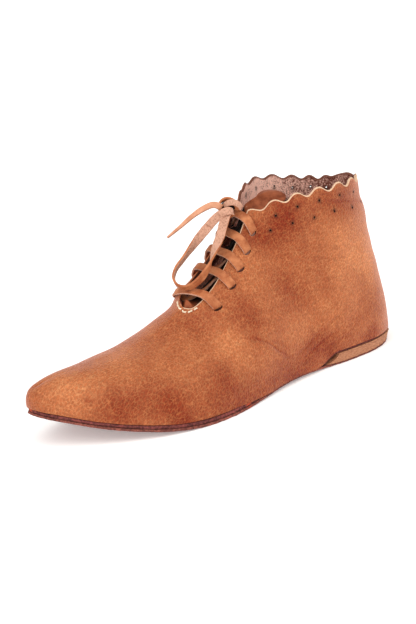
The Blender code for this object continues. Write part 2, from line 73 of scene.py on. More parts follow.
# Studio. Columns of the lamps: name, where it stands as seen from the shoe, strength, spread in degrees
LAMPS = (("key", (0.75, 0.35, 1.0), 1.9, 70.0), ("fill", (-0.5, 0.8, 0.9), 0.6, 40.0))
WORLD_STRENGTH = 0.52
PAPER_GAP = 0.1
PAPER_FLAT = 1500.0
PAPER_EDGE = 9000.0
PAPER_RISE = 1900.0
PAPER_SIDES = 64

# Sole, as in the model
LENGTH = 280.0
BALL_X = 190.0
TOE_SPRING = 20.0
TOE_SPRING_POWER = 1.8
ARCH_FRONT_X = 165.0
ARCH_BACK_X = 62.0
ARCH_RISE = 2.0
GAP = 0.3
FEATHER_GAP = 0.45
OUTSOLE_THICK = 1.6
OUTSOLE_HEEL_THICK = 1.0
TURN_SOLE_THICK = 1.9
TURN_SOLE_SEAT_THICK = 1.3
LIFT_THICK = 6.5
LIFT_FRONT_LOW_X = 79.0
LIFT_FRONT_HIGH_X = 68.0
SEAT_RISE_FRONT_X = 85.0
MODEL_STATIONS = 91
SOLE_COLUMNS = ("x", "lateral", "medial", "feather", "turn", "lift")
SOLE_ROWS = (
    (LENGTH, -9.0, -9.0, 0.0, 0.8, 0.0),
    (276.5, 1.2, -17.0, 0.2, 0.8, 0.0),
    (266.0, 12.0, -25.0, 0.6, 0.8, 0.0),
    (252.0, 25.0, -33.0, 1.0, 0.8, 0.0),
    (235.0, 36.7, -40.0, 1.4, 0.8, 0.0),
    (215.0, 46.6, -45.0, 1.5, 0.8, 0.0),
    (192.0, 51.8, -46.5, 1.5, 0.8, 0.0),
    (170.0, 50.9, -43.5, 1.2, 0.9, 0.0),
    (145.0, 44.9, -37.0, 0.4, 1.0, 0.0),
    (115.0, 37.4, -31.0, -0.4, 1.0, 0.0),
    (85.0, 33.3, -30.0, -0.8, 0.6, -0.2),
    (55.0, 33.9, -33.0, -0.8, 0.2, -0.4),
    (30.0, 31.8, -31.8, -1.1, 0.0, -0.8),
    (11.0, 23.5, -23.5, -1.8, -0.6, -1.6),
    (2.4, 11.5, -11.5, -2.6, -1.4, -2.4),
    (0.0, 0.0, 0.0, -2.8, -1.6, -2.6),
)
HEEL_BACK = len(SOLE_ROWS) - 1
OUTLINE_OVERLAP = 3
OUTLINE_STEP = 0.001

# Finer sole for the eye. Columns of the levels: inset, share of the layer's thickness, and millimetres above that
SOLE_STATIONS = 421
OUTSOLE_LEVELS = ((0.5, 0.0, 0.0), (0.1, 0.0, 0.35), (0.0, 0.5, 0.0), (0.1, 1.0, -0.25), (0.4, 1.0, 0.0))
TURN_SOLE_LEVELS = ((0.3, 0.0, 0.0), (0.0, 0.0, 0.3), (0.0, 1.0, -0.3), (0.3, 1.0, 0.0))
LIFT_STATIONS = 161
LIFT_LEVELS = ((0.25, 0.0), (0.0, 0.06), (0.12, 0.5), (0.1, 0.76), (0.32, 0.8), (0.1, 0.84), (0.0, 0.95), (0.25, 1.0))
LIFT_FRONT_CURVE = 0.25
LIFT_SHARP_ANGLE = 0.6
# Waves of the frayed edge. Columns: depth, size, seed
FRAYS = ((0.22, 5.0, 21), (0.13, 1.9, 22))

# Upper, as in the model: each row is one rib from the sole's edge to the top line
UPPER_COLUMNS = ("foot", "x", "lateral_y", "medial_y", "lateral_z", "medial_z",
                 "low_out", "low_up", "high_out", "high_down", "tilt")
VAMP_ROWS = (
    (0.0, 272.0, -9.0, -9.0, 35.5, 35.5, 1.0, 9.0, 5.5, 0.0, 0.0),
    (1.0, 269.0, -8.5, -8.5, 37.0, 37.0, 1.0, 10.0, 7.5, 0.0, 0.0),
    (2.0, 261.0, -7.0, -7.0, 39.2, 39.2, 1.0, 12.0, 12.0, 0.0, 0.0),
    (3.0, 250.0, -5.0, -5.0, 40.6, 40.6, 1.0, 14.0, 18.0, 0.0, 0.0),
    (4.0, 234.0, -2.0, -2.0, 42.0, 42.0, 1.0, 17.0, 24.0, 0.0, 0.5),
    (5.0, 215.0, 1.0, 1.0, 45.0, 45.0, 1.0, 20.0, 28.0, 1.0, 1.5),
    (6.0, 196.0, 4.0, 4.0, 50.4, 50.4, 1.0, 22.0, 29.0, 2.5, 5.5),
    (6.9, 180.0, 6.0, 6.0, 58.6, 58.6, 1.0, 24.0, 27.0, 5.0, 11.0),
    (7.3, 173.0, 6.5, 6.5, 62.4, 62.4, 1.0, 26.0, 25.0, 6.5, 13.0),
)
THROAT_ROWS = (
    VAMP_ROWS[-1],
    (7.48, 171.3, 11.2, 1.6, 61.7, 63.9, 1.0, 26.4, 23.2, 7.1, 11.7),
    (7.6, 168.7, 12.7, -2.6, 62.6, 65.8, 1.0, 26.7, 22.0, 7.6, 10.8),
    (7.7, 166.0, 13.4, -4.3, 64.0, 67.4, 1.0, 27.0, 21.0, 8.0, 10.0),
    (8.2, 155.0, 14.0, -5.0, 71.0, 76.0, 1.0, 29.0, 19.0, 11.0, 5.0),
    (8.8, 141.0, 13.0, -4.0, 84.0, 89.0, 1.0, 31.0, 17.0, 16.0, 0.0),
    (9.4, 127.0, 11.5, -3.0, 99.5, 105.0, 1.0, 34.0, 14.0, 21.0, 0.0),
    (10.0, 115.5, 9.0, -2.0, 114.5, 120.0, 1.0, 36.0, 12.0, 26.0, 0.0),
)
COLLAR_ROWS = (
    THROAT_ROWS[-1],
    (10.7, 99.0, 22.0, -15.0, 120.0, 127.2, 1.5, 36.0, 7.0, 32.0, 0.0),
    (11.6, 70.0, 30.0, -29.0, 122.9, 128.6, 1.5, 36.0, 2.0, 36.0, 0.0),
    (12.6, 42.0, 27.5, -27.5, 123.4, 124.2, 1.0, 36.0, 2.0, 38.0, 0.0),
    (14.0, 21.0, 13.5, -13.5, 123.4, 121.4, -0.5, 30.0, 4.5, 40.0, 0.0),
    (HEEL_BACK, 16.5, 0.0, 0.0, 122.8, 122.8, -0.5, 30.0, 5.0, 40.0, 0.0),
)
UPPER_WALL = 1.8
BITES = {LATERAL: (8.6, 25.4, 41.5, 59.0, 76.7, 94.0, 110.5),
         MEDIAL: (5.5, 18.5, 32.0, 54.6, 73.6, 88.4, 100.2, 111.5)}
BITE_DEPTH = {LATERAL: 4.2, MEDIAL: 2.9}
BITE_SHARPNESS = 1.2
BITE_FADE = 26.0
SLIT_SHARES = {LATERAL: (0.225, 0.435, 0.6, 0.76, 0.93), MEDIAL: (0.16, 0.41, 0.585, 0.755, 0.93)}
SLIT_INSET = 10.5
SLIT_LENGTH = 7.0

# Finer grid of the upper for the eye
VAMP_COLUMNS = 84
THROAT_COLUMNS = 50
COLLAR_COLUMNS = 124
UPPER_ROWS = 68
RIB_SAMPLES = 121
ALONG_STEP = 0.2
HEIGHT_STEP = 0.01
ROWS_CROWDED = 0.4
SOFTEN_ROUNDS = 60
SOFTEN_STEP = 0.5
# Ribs that are evened out, with how many columns that reaches, and how far from the top and the foot it fades
SOFT_RIBS = ((VAMP_COLUMNS, 7.0), (VAMP_COLUMNS + THROAT_COLUMNS, 9.0))
SOFT_BELOW_TOP = 0.08
SOFT_ABOVE_FOOT = 0.05
# The leather's overhang at the waist
WAIST_BACK_X = 78.0
WAIST_BACK_EASE = 14.0
WAIST_FRONT_X = 178.0
WAIST_FRONT_EASE = 45.0
WAIST_HEIGHT = 0.09
WAIST_DROP = 2.4
WAIST_OUT = 0.7
# Waves of the wall. Columns: depth, size, seed
SWELLS = ((0.35, 46.0, 3), (0.16, 17.0, 4))
KNIFE_SLOPE = 0.6
UPPER_SHARP_ANGLE = 0.8

# Punched holes in two rows under the collar's tabs, and the lace slits
HOLE_ACROSS = 1.4
HOLE_SLANT = 0.7
HOLE_DROPS = (9.5, 18.5)
HOLE_SHIFTS = (-0.8, -8.5)
HOLE_STRAY_ALONG = 0.7
HOLE_STRAY_DOWN = 0.8
HOLE_SEED = 11
SLIT_ACROSS = 3.9
SLIT_OUT = 0.9
SLIT_TURN = np.radians(22.0)
CUT_DEPTH = 9.0
CUT_SIDES = 14

# Folds of the leather: each row is a line of points, with the fold's width and depth (a ridge is negative). The narrow
# ones are also painted darker, partly as shade in their hollow and partly as dirt gathered there.
FOLDS = (
    (((152.0, 37.0, 40.5), (145.0, 37.0, 39.5), (134.0, 38.5, 34.5), (124.0, 38.5, 26.0), (116.0, 38.0, 20.0)),
     1.2, 0.6),
    (((150.0, 37.5, 36.5), (140.0, 38.5, 33.0), (130.0, 38.8, 26.5), (120.0, 38.3, 18.5)), 2.2, -0.6),
    (((136.0, 37.6, 38.5), (124.0, 37.4, 31.0), (114.0, 37.0, 23.5)), 1.2, 0.35),
    (((152.0, 38.0, 35.0), (140.0, 39.0, 31.0), (130.0, 39.0, 24.0)), 9.0, -0.6),
    (((72.0, 31.0, 113.0), (54.0, 31.0, 110.0), (36.0, 27.0, 108.0), (21.0, 13.0, 107.0), (18.0, -12.0, 107.0)),
     3.4, 0.7),
    (((68.0, 31.0, 112.2), (52.0, 30.6, 109.9), (36.1, 26.6, 107.2), (23.9, 20.1, 104.8)), 1.2, 0.4),
    (((64.0, 31.5, 104.0), (42.0, 30.0, 100.0), (20.0, 13.0, 97.0), (18.0, -14.0, 97.0)), 9.0, -1.3),
    (((108.0, 35.5, 17.0), (92.0, 34.5, 23.0), (76.0, 34.5, 30.0), (62.0, 33.5, 36.0)), 1.3, 0.4),
    (((100.0, 35.0, 14.0), (82.0, 34.5, 20.0), (64.0, 34.8, 25.0)), 1.3, 0.35),
    (((88.0, 35.0, 13.0), (70.0, 35.0, 17.0), (54.0, 34.5, 19.5)), 1.3, 0.3),
    (((112.0, -34.0, 34.0), (128.0, -34.5, 30.0), (146.0, -36.0, 30.0)), 4.0, 0.4),
    (((68.0, -31.0, 112.0), (50.0, -31.0, 108.0), (32.0, -25.0, 106.0)), 3.0, 0.35),
)
FOLD_POINTS = 48
FOLD_ENDS = (0.02, 0.98)
FOLD_END_POWER = 0.6
NARROW_FOLD = 1.5
NARROW_DARK = 0.45
RAW_STOPS = 20
FINE_REACH = 2.2
FINE_CUTS = 2
# Painted shade in and round the punched holes: its reach and darkness
HOLE_SPOT = 1.5
HOLE_SHADE = 0.85

# Painted shade of the flesh side, which grows towards the heel
HEEL_SHADE_FROM_X = 57.0
HEEL_SHADE_PER_MM = 0.005
HEEL_SHADE_RANGE = (-0.05, 0.18)

# Painted shade inside the throat's medial side: places along it, depth below its edge, size and strength
THROAT_SHADE_SHARES = (0.05, 0.16, 0.27, 0.38, 0.49, 0.6, 0.71, 0.8)
THROAT_SHADE_DROP = 6.0
THROAT_SHADE_SIZE = 9.0
THROAT_SHADE = 0.6

# Dark and pale places of the hide: partly its own tone, and partly painted light, with painted shade low on the sides
# and painted highlight on the toe's top and at the heel. Columns: x, y, z, size, and how much paler
TONE_AND_PAINTED_LIGHT = (
    (133.5, 31.9, 52.5, 14.0, -0.2), (103.2, 28.8, 55.4, 15.0, -0.18), (147.3, 30.7, 52.5, 12.0, -0.14),
    (38.2, 34.1, 10.9, 14.0, -0.26), (62.8, 34.7, 14.7, 16.0, -0.26), (92.0, 35.5, 10.0, 18.0, -0.26),
    (178.0, 18.8, 50.6, 15.0, -0.14), (228.7, 33.9, 26.5, 16.0, -0.3), (243.0, 28.4, 23.4, 9.0, -0.2),
    (254.9, 18.7, 28.0, 2.6, -0.4), (205.0, 46.0, 12.0, 18.0, -0.28), (167.9, 49.3, 8.1, 18.0, -0.28),
    (120.0, 38.0, 8.0, 18.0, -0.28), (142.0, 42.0, 8.0, 18.0, -0.2), (175.4, 46.4, 22.8, 14.0, -0.14),
    (113.8, 18.0, 91.4, 16.0, -0.26), (83.8, 30.3, 83.0, 15.0, -0.16), (96.0, 25.0, 108.0, 16.0, -0.26),
    (72.0, 30.5, 110.0, 16.0, -0.22), (48.0, 29.5, 112.0, 14.0, -0.2), (265.3, 5.6, 34.4, 16.0, 0.16),
    (262.6, -6.0, 37.8, 14.0, 0.1), (224.8, 9.4, 42.3, 20.0, 0.14), (206.0, 29.3, 37.7, 15.0, 0.12),
    (184.8, 35.8, 36.2, 14.0, 0.12), (128.3, 21.5, 78.3, 14.0, 0.14), (75.3, 31.4, 88.1, 14.0, 0.14),
    (42.7, 31.0, 80.0, 22.0, 0.28), (22.0, 16.0, 62.0, 24.0, 0.28), (99.3, 32.2, 39.2, 16.0, 0.16),
    (165.9, 36.5, 36.2, 14.0, 0.16), (201.5, 45.5, 20.8, 9.0, 0.12),
)

# Fresh nicks and loose pale fibres of the sole's edge, in the same columns
NICKS = ((279.2, -9.2, 23.4, 1.8, 1.0), (160.6, 48.0, 2.6, 2.2, 0.9))
FUZZ = ((95.4, 33.5, 4.4, 4.0, 0.14), (86.0, 32.9, 4.2, 5.0, 0.2), (176.0, 51.0, 3.0, 6.0, 0.12),
        (262.0, 16.0, 14.0, 9.0, 0.06))

# Lace, as in the model. The routes of its loop and its free end are in millimetres right, up and towards the camera
# from the knot's middle.
LACE_WIDTH = 6.0
LACE_THICK = 1.6
LACE_STEP = 0.8
LACE_FEWEST = 8
LACE_SIDES = 20
LACE_FLATNESS = (0.3, 0.45)
LACE_FACE_LEVEL = 0.75
LACE_UNEVEN = 0.035
LACE_UNEVEN_SIZE = 9.0
BAR_STEP = 0.6
BAR_CROWN = 2.2
BAR_SLANT = 0.6
BAR_DIP = 1.6
BAR_SEED = 40
# The thong's way through a slit. Columns: distance below the throat's edge, and out from the wall's grain side
SLIT_RISE = 0.4 + LACE_THICK / 2
SLIT_UNDER = UPPER_WALL + 0.25 + LACE_THICK / 2
SLIT_ROUTE = (
    (0.5, -SLIT_UNDER - 1.6), (7.2, -SLIT_UNDER), (9.4, -SLIT_UNDER + 0.4), (10.5, -UPPER_WALL / 2), (10.6, 0.6),
    (9.0, SLIT_RISE + 0.35), (6.2, SLIT_RISE + 0.7), (2.4, SLIT_RISE + 1.1),
)
# Painted shade of each bar over the throat's middle and at its far end, where the loop's shadow falls, and on its way
# back under the throat
BAR_SHADE = ((0.0, 0.0, 0.45), (0.35, 0.0, 0.5), (0.3, 0.2, 1.0), (0.35, 0.5, 1.0), (0.35, 0.5, 1.0))
BAR_NARROWED = 0.62
KNOT_CENTRE = np.array([126.2, 3.0, 119.5])
KNOT_RADII = np.array([6.0, 7.0, 4.6])
KNOT_SEAT = 0.9
THONG_ROOT_WIDTH = 4.6
THONG_ROOT_LENGTH = 9.0
LOOP_POINTS = (
    (0.4, -5.4, 3.6), (-1.0, -8.0, 4.4), (-2.7, -12.0, 5.6), (-5.2, -21.4, 10.4), (-8.7, -30.5, 14.2),
    (-12.6, -41.4, 16.2), (-18.6, -49.8, 15.8), (-26.0, -54.2, 14.0), (-32.0, -53.0, 12.0), (-34.8, -48.3, 10.0),
    (-33.7, -43.0, 8.4), (-29.0, -36.1, 6.9), (-21.8, -26.1, 5.4), (-14.8, -17.1, 4.4), (-8.6, -10.0, 3.6),
    (-4.0, -6.0, 3.4),
)
END_POINTS = (
    (-4.6, -2.9, 3.4), (-6.6, -1.5, 4.0), (-10.2, -0.8, 2.4), (-14.0, -1.9, 0.2), (-17.6, -3.7, -1.2),
    (-23.0, -7.3, -2.5), (-31.0, -14.2, -3.6), (-39.6, -21.4, -3.8),
)
LOOP_FACING = np.array([0.62, 0.62, 0.48])
# The loop's flesh side turns from LOOP_FACING to its inside between these shares of its length
LOOP_TURN_FROM = 0.08
LOOP_TURN_EASE = 0.36
LOOP_TURN_TO = 0.98
LOOP_BACK_EASE = 0.3
LOOP_INWARD = 0.95
LOOP_AWAY = 0.1
LOOP_SEED = 61
END_FACING = np.array([0.42, 0.6, 0.68])
END_WIDTH = 4.6
END_TIP_WIDTH = 1.2
TAPER_FROM = 0.25
END_SEED = 62

# Bands of the knot in millimetres from its middle, as the photograph shows them. Columns: right, up and towards the
# camera; the direction of the band's width in the same terms; its width.
KNOT_BAND = (
    (-2.6, -1.6, 1.0, 0.35, -0.93, 0.0, 3.2),
    (-0.6, 0.1, 2.6, 0.3, -0.95, 0.0, 3.9),
    (2.3, 0.8, 3.4, 0.0, -1.0, 0.0, 4.0),
    (5.2, 0.2, 3.4, -0.35, -0.93, 0.0, 3.9),
    (7.2, -1.1, 2.4, -0.6, -0.8, 0.0, 3.6),
    (7.9, -2.3, 0.6, -0.5, -0.7, -0.5, 3.4),
    (6.6, -2.5, -0.6, -0.2, -0.75, -0.6, 3.4),
    (4.0, -2.0, -0.8, 0.0, -0.7, -0.7, 3.4),
    (1.5, -2.2, -1.2, 0.0, -0.6, -0.8, 3.2),
)
KNOT_ARCH = (
    (-5.6, -2.4, -0.4, 0.2, 0.25, 0.95, 3.8),
    (-5.9, -0.4, 0.2, 0.2, 0.2, 0.96, 4.2),
    (-4.6, 1.7, 0.5, 0.1, 0.32, 0.94, 4.4),
    (-2.0, 3.0, 0.6, 0.05, 0.4, 0.92, 4.4),
    (1.0, 2.9, 0.8, -0.05, 0.45, 0.9, 4.2),
    (3.6, 1.7, 0.6, -0.1, 0.5, 0.86, 3.8),
)
KNOT_FOLD = (
    (-12.4, -14.6, 4.9, 0.75, -0.63, -0.2, 5.6),
    (-6.4, -8.2, 5.6, 0.7, -0.68, -0.2, 5.5),
    (-2.7, -5.7, 6.0, 0.5, -0.85, -0.15, 5.2),
    (0.3, -4.9, 6.0, 0.3, -0.95, -0.1, 4.9),
    (2.2, -5.3, 5.0, 0.2, -0.98, 0.0, 4.6),
    (2.7, -6.0, 3.4, 0.2, -0.98, 0.0, 4.4),
    (1.4, -6.6, 2.4, 0.2, -0.95, 0.1, 4.4),
    (-0.6, -7.4, 2.2, 0.3, -0.95, 0.1, 4.4),
)
KNOT_STEP = 0.5
KNOT_THICK = 1.5
BAND_SEED, FOLD_SEED, ARCH_SEED = 51, 52, 53
HEART_MIDDLE = np.array([-0.4, -1.6, -0.6])
HEART_RADII = np.array([5.0, 3.4, 2.2])
HEART_SEGMENTS, HEART_RINGS = 32, 16

# Tongue, as in the model
TONGUE_THICK = 1.5
TONGUE_CLEARANCE = 4.5
TONGUE_SAG = 4.0
TONGUE_ROOT_CLEARANCE = 2.0
TONGUE_ROOT_LENGTH = 24.0
TONGUE_HALF_WIDTH = 19.0
TONGUE_SHARES = (1.0, 0.83, 0.67, 0.5, 0.33, 0.17, 0.0)
TONGUE_BETWEEN = (0.25, 0.5, 0.75)
TONGUE_MIDDLE = len(TONGUE_SHARES) + len(TONGUE_BETWEEN) // 2
TONGUE_ROOT_ROWS = ((9.0, 0.5), (6.0, 0.7), (3.0, 0.85))
TONGUE_THROAT_START = 0.04
TONGUE_THROAT_ROWS = 34
# Columns of the top: back, up, share of the width, and how flat it is
TONGUE_TOP_ROWS = (
    (0.0, 0.0, 1.0, 0.0),
    (7.0, 3.0, 0.95, 0.2),
    (14.5, 5.0, 0.95, 0.5),
    (20.5, 6.3, 0.97, 0.78),
    (25.5, 6.9, 0.86, 0.92),
    (29.0, 6.9, 0.5, 1.0),
)
TONGUE_TOP_STEPS = 16
TONGUE_SMOOTHING = 2
TONGUE_DROOP = 5.0
TONGUE_BULGE = 6.0
TONGUE_BULGE_SHARES = (0.3, 0.7, 0.95, 1.0, 0.95, 0.7, 0.3)
TONGUE_BULGE_AT = 5.0
TONGUE_BULGE_LENGTH = 4.2
# Painted shade on the tongue deep in the throat: where it begins along the throat, how fast it grows, how far past the
# throat's top it reaches, and how fast it fades there
TONGUE_SHADE_FROM = 11.0
TONGUE_SHADE_EASE = 6.0
TONGUE_SHADE_PAST = 2.0
TONGUE_SHADE_FADE_EASE = 5.0
# Waves of the tongue. Columns: depth, size, seed
TONGUE_SWELLS = ((0.25, 21.0, 31),)

# Stitches round the throat's foot: their line along its edges and below them, and each stitch
STITCH_ALONGS = {MEDIAL: (9.5, 7.0, 5.0, 2.5), LATERAL: (2.5, 5.0, 7.5, 10.0)}
STITCH_DROP = 0.6
STITCH_OUT = 1.4
STITCH_START = 0.6
STITCH_PITCH = 3.7
STITCH_LENGTH = 2.7
STITCH_RADIUS = 0.55
STITCH_ARCH = 0.75
STITCH_ARCH_POWER = 0.6
STITCH_SUNK = 0.25
STITCH_REACH = 1.5
STITCH_RINGS = 9
STITCH_SIDES = 8


def spline(keys, rows, at):
    """Points at the given keys on a smooth curve through the rows."""
    keys = np.asarray(keys, float)
    rows = np.asarray(rows, float)
    at = np.asarray(at, float)
    step = np.diff(keys)[:, None]
    slope = np.diff(rows, axis=0) / step
    tangent = np.empty_like(rows)
    tangent[1:-1] = (slope[:-1] * step[1:] + slope[1:] * step[:-1]) / (step[:-1] + step[1:])
    tangent[0] = 1.5 * slope[0] - 0.5 * tangent[1]
    tangent[-1] = 1.5 * slope[-1] - 0.5 * tangent[-2]
    cell = np.clip(np.searchsorted(keys, at, side="right") - 1, 0, len(keys) - 2)
    span = step[cell]
    t = (at - keys[cell])[:, None] / span
    start = (2 * t**3 - 3 * t**2 + 1) * rows[cell] + (t**3 - 2 * t**2 + t) * span * tangent[cell]
    end = (3 * t**2 - 2 * t**3) * rows[cell + 1] + (t**3 - t**2) * span * tangent[cell + 1]
    return start + end


def distances(points):
    """Distance along a line of points, from its first one."""
    steps = np.linalg.norm(np.diff(points, axis=0), axis=1)
    return np.concatenate([[0.0], np.cumsum(steps)])


def unit(vectors):
    return vectors / np.linalg.norm(vectors, axis=-1, keepdims=True)


def smooth_step(t):
    t = np.clip(t, 0.0, 1.0)
    return t * t * (3.0 - 2.0 * t)


def ripple(points, size, seed):
    """Smooth uneven waves of about the given size over points, from -1 to 1."""
    chance = np.random.default_rng(seed)
    ways = unit(chance.normal(size=(RIPPLE_WAVES, 3)))
    waves = chance.uniform(*RIPPLE_SPREAD, RIPPLE_WAVES) * 2 * np.pi / size
    shifts = chance.uniform(0.0, 2 * np.pi, RIPPLE_WAVES)
    return np.sin(points @ ways.T * waves + shifts).sum(axis=1) / RIPPLE_PEAK


def ripples(points, rows):
    """The waves of a table's rows, added up."""
    return sum(depth * ripple(points, size, seed) for depth, size, seed in rows)


def apart(points, others):
    """Distance from each point to each of the others."""
    return np.linalg.norm(points[:, None, :] - others[None], axis=2)


def floor_line(x):
    toe = np.clip((x - BALL_X) / (LENGTH - BALL_X), 0.0, 1.0) ** TOE_SPRING_POWER
    arch = np.clip((x - ARCH_BACK_X) / (ARCH_FRONT_X - ARCH_BACK_X), 0.0, 1.0)
    return TOE_SPRING * toe + ARCH_RISE * np.sin(np.pi * arch) ** 2


def on_lift(x):
    return smooth_step((SEAT_RISE_FRONT_X - x) / (SEAT_RISE_FRONT_X - LIFT_FRONT_HIGH_X))


def outsole_top(x):
    return floor_line(x) + OUTSOLE_THICK + (OUTSOLE_HEEL_THICK - OUTSOLE_THICK) * on_lift(x)


def lift_low(x):
    return outsole_top(x) + GAP


def turn_sole_low(x):
    return outsole_top(x) + GAP + (LIFT_THICK + GAP) * on_lift(x)


def turn_sole_high(x):
    return turn_sole_low(x) + TURN_SOLE_THICK + (TURN_SOLE_SEAT_THICK - TURN_SOLE_THICK) * on_lift(x)


def sole_edge(at, side, inset=None):
    """Points and outward directions on the sole's outline; at counts the outline's rows."""
    rows = np.array(SOLE_ROWS)
    without = ("medial", "lateral") if side == LATERAL else ("lateral", "medial")
    near, far = [np.delete(rows, SOLE_COLUMNS.index(edge), axis=1) for edge in without]
    around = np.vstack([far[OUTLINE_OVERLAP:0:-1], near, far[-2:-2 - OUTLINE_OVERLAP:-1]])
    keys = np.arange(-OUTLINE_OVERLAP, len(rows) + OUTLINE_OVERLAP)
    at = np.asarray(at, float)
    here = spline(keys, around, at)
    before, after = [spline(keys, around[:, :2], at + step) for step in (-OUTLINE_STEP, OUTLINE_STEP)]
    along = after - before
    outward = unit(np.column_stack([along[:, 1], -along[:, 0]]) * side)
    shift = here[:, [SOLE_COLUMNS.index(inset) - 1]] if inset else 0.0
    return here[:, :2] - shift * outward, outward


def upper_columns(section, side):
    """The upper's table for one side, without the other side's y and z."""
    away = "medial" if side == LATERAL else "lateral"
    kept = [index for index, name in enumerate(UPPER_COLUMNS) if not name.startswith(away)]
    return np.array(section, float)[:, kept]


def top_distances(section, side):
    return distances(upper_columns(section, side)[:, 1:4])


def top_length(section, side):
    return top_distances(section, side)[-1]


def upper_surface(section, side, along, height):
    """Points on the outside of the upper: along its top line in millimetres, height from 0 at the sole to 1."""
    rows = spline(top_distances(section, side), upper_columns(section, side), along)
    foot, x, y, z, low_out, low_up, high_out, high_down, tilt = rows.T
    edge, outward = sole_edge(foot, side, "feather")
    outward = np.column_stack([outward, np.zeros(len(foot))])
    low = np.column_stack([edge, turn_sole_high(edge[:, 0]) + FEATHER_GAP])
    high = np.column_stack([x, y, z])
    low_handle = low + outward * low_out[:, None] + UP * low_up[:, None]
    high_handle = high + outward * high_out[:, None] - UP * (high_down + side * tilt)[:, None]
    v = np.asarray(height, float)[..., None]
    curve = (1 - v) ** 3 * low + 3 * v * (1 - v) ** 2 * low_handle
    return curve + 3 * v**2 * (1 - v) * high_handle + v**3 * high


def below_edge(section, side, along, drop):
    """Point, outward normal and edge direction on the upper, at a distance drop below its top line."""
    heights = np.linspace(0.0, 1.0, RIB_SAMPLES)
    rib = upper_surface(section, side, np.full(RIB_SAMPLES, along), heights)
    below = distances(rib[::-1])[::-1]
    height = np.interp(-drop, -below, heights)
    near = np.array([along, along - ALONG_STEP, along + ALONG_STEP, along])
    level = np.array([height, height, height, height - HEIGHT_STEP])
    here, before, after, lower = upper_surface(section, side, near, level)
    edge = unit(after - before)
    return here, unit(np.cross(edge, here - lower)) * side, edge


def bite_depth(along, side):
    """Depth of the collar's scallops at distances along from the collar's front corner."""
    length = top_length(COLLAR_ROWS, side)
    places = (0.0, *BITES[side], length)
    turns = (-0.5, *range(len(BITES[side])), len(BITES[side]) - 0.5)
    wave = 0.5 + 0.5 * np.cos(2 * np.pi * np.interp(along, places, turns))
    # They grow faint at the very back
    return BITE_DEPTH[side] * wave**BITE_SHARPNESS * smooth_step((length - along) / BITE_FADE)


# Where the design's origin lies in the model's frame, from the outsole that both have
MODEL_OUTSOLE = np.array(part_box("outsole")) / MM
LATERAL_REACH = sole_edge(np.linspace(0.0, HEEL_BACK, MODEL_STATIONS), LATERAL)[0][:, 1].max()
ORIGIN = np.array([-MODEL_OUTSOLE[0][0], LATERAL_REACH - MODEL_OUTSOLE[1][1], 0.0])


def place(points):
    return (np.asarray(points, float) - ORIGIN) * MM


def view_axes():
    """The camera's directions to the right, up and back towards it."""
    back = np.array([np.sin(VIEW_TURN) * np.cos(VIEW_RISE), np.cos(VIEW_TURN) * np.cos(VIEW_RISE), np.sin(VIEW_RISE)])
    right = np.array([-np.cos(VIEW_TURN), np.sin(VIEW_TURN), 0.0])
    up = np.cross(back, right)
    return np.array([right * np.cos(VIEW_LEAN) + up * np.sin(VIEW_LEAN),
                     up * np.cos(VIEW_LEAN) - right * np.sin(VIEW_LEAN), back])


VIEW_AXES = view_axes()


def linear(colour):
    """Linear RGBA from an sRGB hex value."""
    parts = np.array([int(colour[i:i + 2], 16) for i in (1, 3, 5)]) / 255.0
    return (*np.where(parts <= 0.04045, parts / 12.92, ((parts + 0.055) / 1.055) ** 2.4), 1.0)


def add(tree, kind, inputs=None, out=0, **settings):
    """An output of a new shader node, which gets its settings, and its inputs as values or as other nodes' outputs."""
    made = tree.nodes.new("ShaderNode" + kind)
    for name, value in settings.items():
        setattr(made, name, value)
    for name, value in (inputs or {}).items():
        if isinstance(value, bpy.types.NodeSocket):
            tree.links.new(value, made.inputs[name])
        else:
            made.inputs[name].default_value = value
    return made.outputs[out]


def finish_named(name, sockets):
    """A new material with its shader set, its node tree and the object's own coordinates."""
    material = bpy.data.materials.new(name)
    material.use_nodes = True
    tree = material.node_tree
    shader = tree.nodes["Principled BSDF"]
    for socket, value in sockets.items():
        shader.inputs[socket].default_value = value
    return material, tree, shader, add(tree, "TexCoord", out="Object")


def tones(tree, share, dark, pale, low=0.0, high=1.0):
    """From dark to pale, as hex values or other nodes' colours, while share goes from low to high."""
    part = add(tree, "MapRange", {"Value": share, "From Min": low, "From Max": high})
    first, last = [linear(tone) if isinstance(tone, str) else tone for tone in (dark, pale)]
    return add(tree, "Mix", {0: part, 6: first, 7: last}, out=2, data_type="RGBA")


def surface(tree, shader, colour, height=None, strength=0.0, depth=0.0):
    """Gives a shader its colour, and a relief from the pattern height, of a depth in millimetres."""
    tree.links.new(colour, shader.inputs["Base Color"])
    if height is not None:
        bump = add(tree, "Bump", {"Height": height, "Strength": strength, "Distance": depth * MM})
        tree.links.new(bump, shader.inputs["Normal"])


def per_mm(size):
    """Scale of a pattern whose marks are this many millimetres apart."""
    return 1.0 / (size * MM)


def with_painted_shade(tree, colour):
    """The colour, darkened nearly to black as painted shade where the piece is marked with it."""
    return tones(tree, add(tree, "Attribute", out="Fac", attribute_name="painted_shade"), colour, "#160A07")


